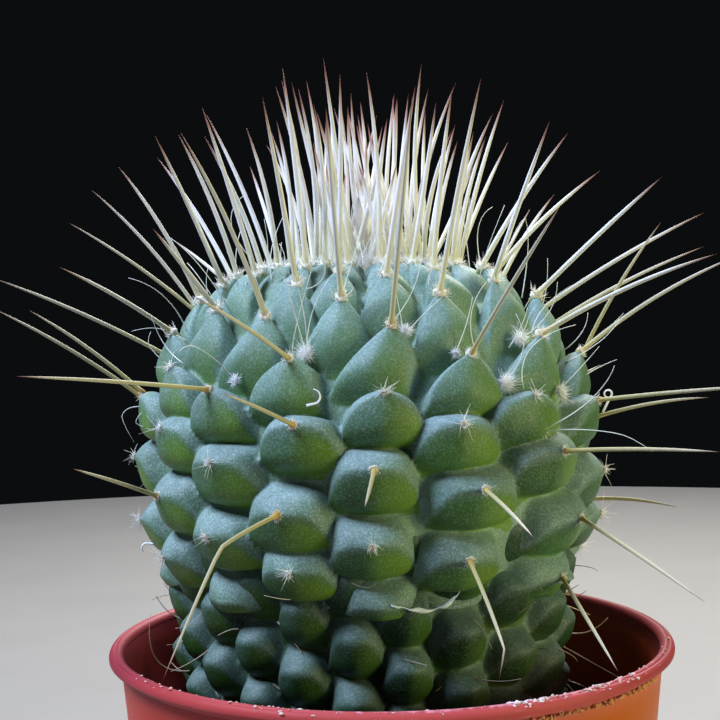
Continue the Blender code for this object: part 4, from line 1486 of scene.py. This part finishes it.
class CACTUS_OT_make_crown_wool(Operator):
    """Build the pad of white wool at the growing point"""

    bl_idname = "cactus.make_crown_wool"
    bl_label = "Crown wool"

    def execute(self, context):
        settings = context.scene.cactus_wool
        material = wool("crown wool", settings.white, settings.cream)
        reach = np.linspace(0.05, 1.0, WOOL_ROWS) * WOOL_RADIUS
        under = np.column_stack((reach, WOOL_EDGE - WOOL_DEPTH * (1 - reach / WOOL_RADIUS)))
        top = np.column_stack((reach, wool_top(reach)))[-2::-1]
        rings = turned(np.concatenate((under, top)), WOOL_SEGMENTS, STEM_OFFSET)
        rings[:, :, 2] += WOOL_LUMPS * wavy(rings, 11, 2.4 * MM)
        add_piece("crown_wool_pad", stacks(rings[None]), material, "wool", "crown_wool")
        rng = np.random.default_rng((SEED, 12))
        radius = WOOL_RADIUS * np.sqrt(rng.uniform(0.0, 1.0, settings.hairs))
        angle = rng.uniform(0.0, 2 * math.pi, settings.hairs)
        roots = polar(radius, angle, wool_top(radius) - 0.3 * MM, STEM_OFFSET)
        outward = np.tile((0.0, 0.0, 1.0), (settings.hairs, 1))
        form = {"spread": 0.4 * MM, "length": settings.length, "curl": 0.25, "radius": WOOL_HAIR}
        crown = hairs(roots, outward, 1, **form, stream=13)
        add_piece("crown_wool_hairs", crown, material, "wool", "crown_wool")
        return {"FINISHED"}


class CACTUS_OT_make_felt(Operator):
    """Build the felt pads with their short hairs round the needles' roots"""

    bl_idname = "cactus.make_felt"
    bl_label = "Areole felt"

    def execute(self, context):
        settings = context.scene.cactus_wool
        numbers = np.arange(UPPER_FIRST, UPPER_LAST + 1)
        roots, outward, rightward, upward = upper_lattice().frames(numbers)
        young = smooth_rise(numbers, *FELT_YOUTH)
        needles = stem_needles()
        bare = np.array([number not in needles for number in numbers])
        wide = between(PAD_WIDTH, young) * (1.0 - BARE_SHRINK * bare)
        axes = (wide * rightward.T, wide * upward.T, between(PAD_HEIGHT, young) * outward.T)
        axes = np.transpose(axes, (2, 0, 1))
        form = {"rough": 0.2, "rows": 7, "around": 14}
        points, faces = blobs(roots - PAD_SUNK * outward, axes, 21, **form)
        whiteness = np.repeat(young, len(points) // len(numbers))
        pads = (points, faces, {"whiteness": whiteness})
        add_piece("areole_pads", pads, wool("areole felt", "#ebe7d6", "#b79c5e"), "cactus")
        material = wool("felt hairs", settings.white, settings.cream)
        roots = roots - FELT_SUNK * outward
        form = {"spread": 0.9 * wide, "length": (0.45 + 0.5 * young) * MM, "curl": 0.3}
        felt = hairs(roots, outward, FELT_HAIRS, **form, radius=FINE_HAIR, stream=14, rings=2)
        add_piece("areole_felt", felt, material, "cactus")
        # Bare areoles keep a few longer, curled hairs
        roots, outward = roots[bare], outward[bare]
        form = {"spread": 0.35 * MM, "length": 0.9 * MM, "curl": 0.9, "radius": CURLED_HAIR}
        curled = hairs(roots, outward, CURLED_HAIRS, **form, stream=15, rings=3)
        add_piece("bare_areole_hairs", curled, material, "cactus")
        return {"FINISHED"}


def set_bristles():
    """The listed bristles: paths that are bowed, and hooked or kinked at the end.

    A path is root + t L direction + 4 t (1 - t) bow + ((t - h) / (1 - h))^1.5 hook, the last from
    t = h = HOOK_START on.
    """
    table = np.array(BRISTLES)
    azimuth, height, way_azimuth, elevation, length, *pushes = table.T[:, :, None]
    roots, _ = on_stem(azimuth[:, 0], height[:, 0] * MM, BRISTLE_DEPTH)
    t = np.linspace(0.0, 1.0, BRISTLE_RINGS)[:, None]
    straight = roots[:, None] + t * length[:, None] * MM * way(way_azimuth, elevation)
    bow, hook = (
        np.stack((right, 0.0 * right, up), axis=-1) * MM
        for right, up in (pushes[:2], pushes[2:])
    )
    hooked = (np.maximum(t - HOOK_START, 0.0) / (1.0 - HOOK_START)) ** 1.5
    return straight + 4 * t * (1 - t) * bow + hooked * hook


def seeded_bristles(lattice, numbers, stream, length, lift, spread):
    """One bristle beside each tubercle of a list, out along its facing with a seeded turn."""
    rng = np.random.default_rng((SEED, stream))
    count = len(numbers)
    root, outward, rightward, upward = lattice.frames(numbers)
    side = rng.uniform(-1.0, 1.0, (count, 1))
    sunk, aside, above = AXIL
    start = root - sunk * outward + aside * side * rightward + above * upward
    turn = rng.normal(0.0, spread, (count, 2))
    direction = unit(outward + turn[:, :1] * rightward + (lift + turn[:, 1:]) * upward)
    size = rng.uniform(*length, count)[:, None, None]
    bow = rng.normal(0.0, 0.12, (count, 1, 3)) * size
    t = np.linspace(0.0, 1.0, BRISTLE_RINGS)[None, :, None]
    return start[:, None] + t * size * direction[:, None] + 4 * t * (1 - t) * bow


def bristles(radius):
    """Every thin bristle in the axils, as tubes that are thicker low down."""
    rng = np.random.default_rng((SEED, 24))
    foot = range(LOWER_FIRST + 24, LOWER_LAST + 1)
    old = [number for number in foot if rng.uniform() < OLD_BRISTLED]
    crown = range(BRISTLED_FROM, UPPER_LAST - 8)
    paths = np.concatenate(
        (
            set_bristles(),
            seeded_bristles(upper_lattice(), crown, 25, **CROWN_BRISTLES),
            seeded_bristles(lower_lattice(), old, 26, **OLD_BRISTLES),
        )
    )
    low = smooth_rise(LIP_MIDDLE + OLD_TOP - paths[:, :1, 2], 0.0, 4.0 * MM)
    radii = radius * (1.0 - 0.6 * np.linspace(0.0, 1.0, BRISTLE_RINGS)) * (1.0 + 0.4 * low)
    return tubes(paths, radii, 5)


def curls():
    """Dry hairs that end in a curl, as tubes.

    A path goes straight along d for a length and then round a circle in the plane that faces
    the front: p = end + r (sin a d + (1 - cos a) s), where s stands square to d.
    """
    azimuth, height, depth, *shape = np.array(CURLS).T
    roots, _ = on_stem(azimuth, height * MM, depth * MM)
    way_azimuth, elevation, length, radius, turn = np.array(shape)[:, :, None]
    direction = way(way_azimuth, elevation)
    side = unit(np.cross(direction, (0.0, 1.0, 0.0)))
    share = np.linspace(-CURL_STRAIGHT, 1.0, CURL_RINGS)
    straight = (1.0 + np.minimum(share, 0.0) / CURL_STRAIGHT) * length * MM
    angle = np.radians(turn) * np.maximum(share, 0.0)
    paths = roots[:, None] + (straight + radius * MM * np.sin(angle))[..., None] * direction
    paths += (radius * MM * (1.0 - np.cos(angle)))[..., None] * side
    radii = between(CURL_RADIUS, (share + CURL_STRAIGHT) / (1.0 + CURL_STRAIGHT))
    return tubes(paths, np.tile(radii, (len(paths), 1)), 6)


def paper_flake():
    """The dry skin along an old tubercle's lower edge: a flattened, wavering tube."""
    share = np.linspace(0.0, 1.0, 40)
    knots = np.linspace(0.0, 1.0, len(PAPER))
    azimuth, height = (np.interp(share, knots, values) for values in zip(*PAPER))
    path, outward = on_stem(azimuth, height * MM, PAPER_DEPTH)
    path = path + 0.12 * MM * np.sin(9 * math.pi * share)[:, None] * outward
    radii = PAPER_WIDTH * np.sin(math.pi * np.clip(share, 0.04, 0.97)) ** 0.5
    radii = radii * (0.62 + 0.38 * np.cos(5 * math.pi * share))
    return tubes(path[None], radii[None], 10)


class CACTUS_OT_make_bristles(Operator):
    """Build the wool tufts, bristles, curled hairs and papery skin in the axils"""

    bl_idname = "cactus.make_bristles"
    bl_label = "Axil wool"

    def execute(self, context):
        settings = context.scene.cactus_wool
        azimuth, height, size = np.array(TUFTS).T
        roots, outward = on_stem(azimuth, height * MM, TUFT_DEPTH)
        size = size * MM
        axes = 0.7 * size[:, None, None] * np.eye(3)
        tufts = blobs(roots, axes, 22, rough=0.3, rows=6, around=10)
        form = {"spread": 0.8 * size, "length": 0.95 * size, "curl": 1.2, "radius": FINE_HAIR}
        loose = hairs(roots, outward, TUFT_HAIRS, **form, stream=23)
        white = wool("axil wool", settings.white, settings.white)
        papery = wool("papery skin", "#e4f0ea", "#bcd2c6")
        add_piece("axil_tufts", tufts, white, "cactus")
        add_piece("axil_hairs", loose, white, "cactus")
        add_piece("axil_bristles", bristles(settings.bristle_radius), fine_horn(), "cactus")
        add_piece("axil_curls", curls(), white, "cactus")
        add_piece("papery_edge", paper_flake(), papery, "cactus")
        return {"FINISHED"}


def add_light(name, place, size, power, colour):
    """A round soft light that faces the plant."""
    lamp = bpy.data.lights.new(name, "AREA")
    lamp.shape = "DISK"
    lamp.size = size
    lamp.energy = power
    lamp.color = linear(colour)
    made = bpy.data.objects.new(name, lamp)
    made.location = place
    made.rotation_mode = "QUATERNION"
    made.rotation_quaternion = (Vector(LIT_POINT) - Vector(place)).to_track_quat("-Z", "Y")
    bpy.context.scene.collection.objects.link(made)


def turned_pair(first, second, degrees):
    """Two directions at right angles, turned towards each other's places by an angle."""
    angle = math.radians(degrees)
    new_first = math.cos(angle) * first + math.sin(angle) * second
    return new_first, math.cos(angle) * second - math.sin(angle) * first


def add_camera(scene):
    """The camera, turned as the picture's was from where it looks at the middle of the rim."""
    rise = math.radians(CAMERA_ELEVATION)
    ahead = np.array((0.0, math.cos(rise), -math.sin(rise)))
    eye = (0.0, 0.0, LIP_MIDDLE) - CAMERA_DISTANCE * ahead
    right = np.array((1.0, 0.0, 0.0))
    up = np.cross(right, ahead)
    ahead, right = turned_pair(ahead, right, CAMERA_YAW)
    ahead, up = turned_pair(ahead, up, CAMERA_PITCH)
    right, up = turned_pair(right, up, CAMERA_ROLL)
    lens = bpy.data.cameras.new("camera")
    lens.sensor_width = SENSOR_MM
    lens.lens = CAMERA_FOCAL_PIXELS / PICTURE_PIXELS * SENSOR_MM
    lens.clip_start = 0.01
    camera = bpy.data.objects.new("camera", lens)
    rows = [[right[k], up[k], -ahead[k], eye[k]] for k in range(3)]
    camera.matrix_world = Matrix(rows + [[0.0, 0.0, 0.0, 1.0]])
    scene.collection.objects.link(camera)
    scene.camera = camera


class CACTUS_OT_make_stage(Operator):
    """Build the pale floor, the soft lights and the camera at the picture's angle"""

    bl_idname = "cactus.make_stage"
    bl_label = "Stage"

    def execute(self, context):
        settings = context.scene.cactus_stage
        scene = context.scene
        edge = settings.floor_radius
        low, side, high = -12.0 * MM, -2.0 * MM, -0.4 * MM
        bevelled = ((2 * MM, low), (edge, low), (edge, side), (edge - 2 * MM, high), (2 * MM, high))
        floor = mesh_piece("floor", *stacks(turned(np.array(bevelled), 128)[None]))
        floor.data.set_sharp_from_angle(angle=math.radians(30.0))
        shaded = [0.94 * value for value in settings.floor]
        stops = ((0.3, shaded), (0.7, settings.floor))
        floor.data.materials.append(patchy("matt paper floor", 40.0, 3.0, 0.7, *stops))
        world = bpy.data.worlds.new("surroundings")
        world.use_nodes = True
        feed(world.node_tree.nodes["Background"], {"Color": settings.surroundings})
        scene.world = world
        scene.view_settings.view_transform = "Standard"
        for name, (place, size, colour) in LIGHTS.items():
            add_light(name, place, size, getattr(settings, name), colour)
        add_camera(scene)
        return {"FINISHED"}


OPERATORS = (
    CACTUS_OT_make_pot,
    CACTUS_OT_make_soil,
    CACTUS_OT_make_skin,
    CACTUS_OT_make_needles,
    CACTUS_OT_make_crown_wool,
    CACTUS_OT_make_felt,
    CACTUS_OT_make_bristles,
    CACTUS_OT_make_stage,
)
GROUPS = {
    "cactus_pot": CactusPotSettings,
    "cactus_soil": CactusSoilSettings,
    "cactus_skin": CactusSkinSettings,
    "cactus_needles": CactusNeedleSettings,
    "cactus_wool": CactusWoolSettings,
    "cactus_stage": CactusStageSettings,
}


class CACTUS_PT_panel(Panel):
    """Lists the settings and the buttons that build each piece"""

    bl_label = "Potted cactus"
    bl_idname = "CACTUS_PT_panel"
    bl_space_type = "VIEW_3D"
    bl_region_type = "UI"
    bl_category = "Cactus"

    def draw(self, context):
        for key, kind in GROUPS.items():
            group = getattr(context.scene, key)
            box = self.layout.box()
            for name in kind.__annotations__:
                box.prop(group, name)
        for operator in OPERATORS:
            self.layout.operator(operator.bl_idname)


def register():
    for kind in (*GROUPS.values(), *OPERATORS, CACTUS_PT_panel):
        bpy.utils.register_class(kind)
    for key, kind in GROUPS.items():
        setattr(bpy.types.Scene, key, PointerProperty(type=kind))


def unregister():
    for key in GROUPS:
        delattr(bpy.types.Scene, key)
    for kind in (CACTUS_PT_panel, *reversed(OPERATORS), *GROUPS.values()):
        bpy.utils.unregister_class(kind)


def main():
    register()
    for operator in OPERATORS:
        group, name = operator.bl_idname.split(".")
        getattr(getattr(bpy.ops, group), name)()


if __name__ == "__main__":
    main()
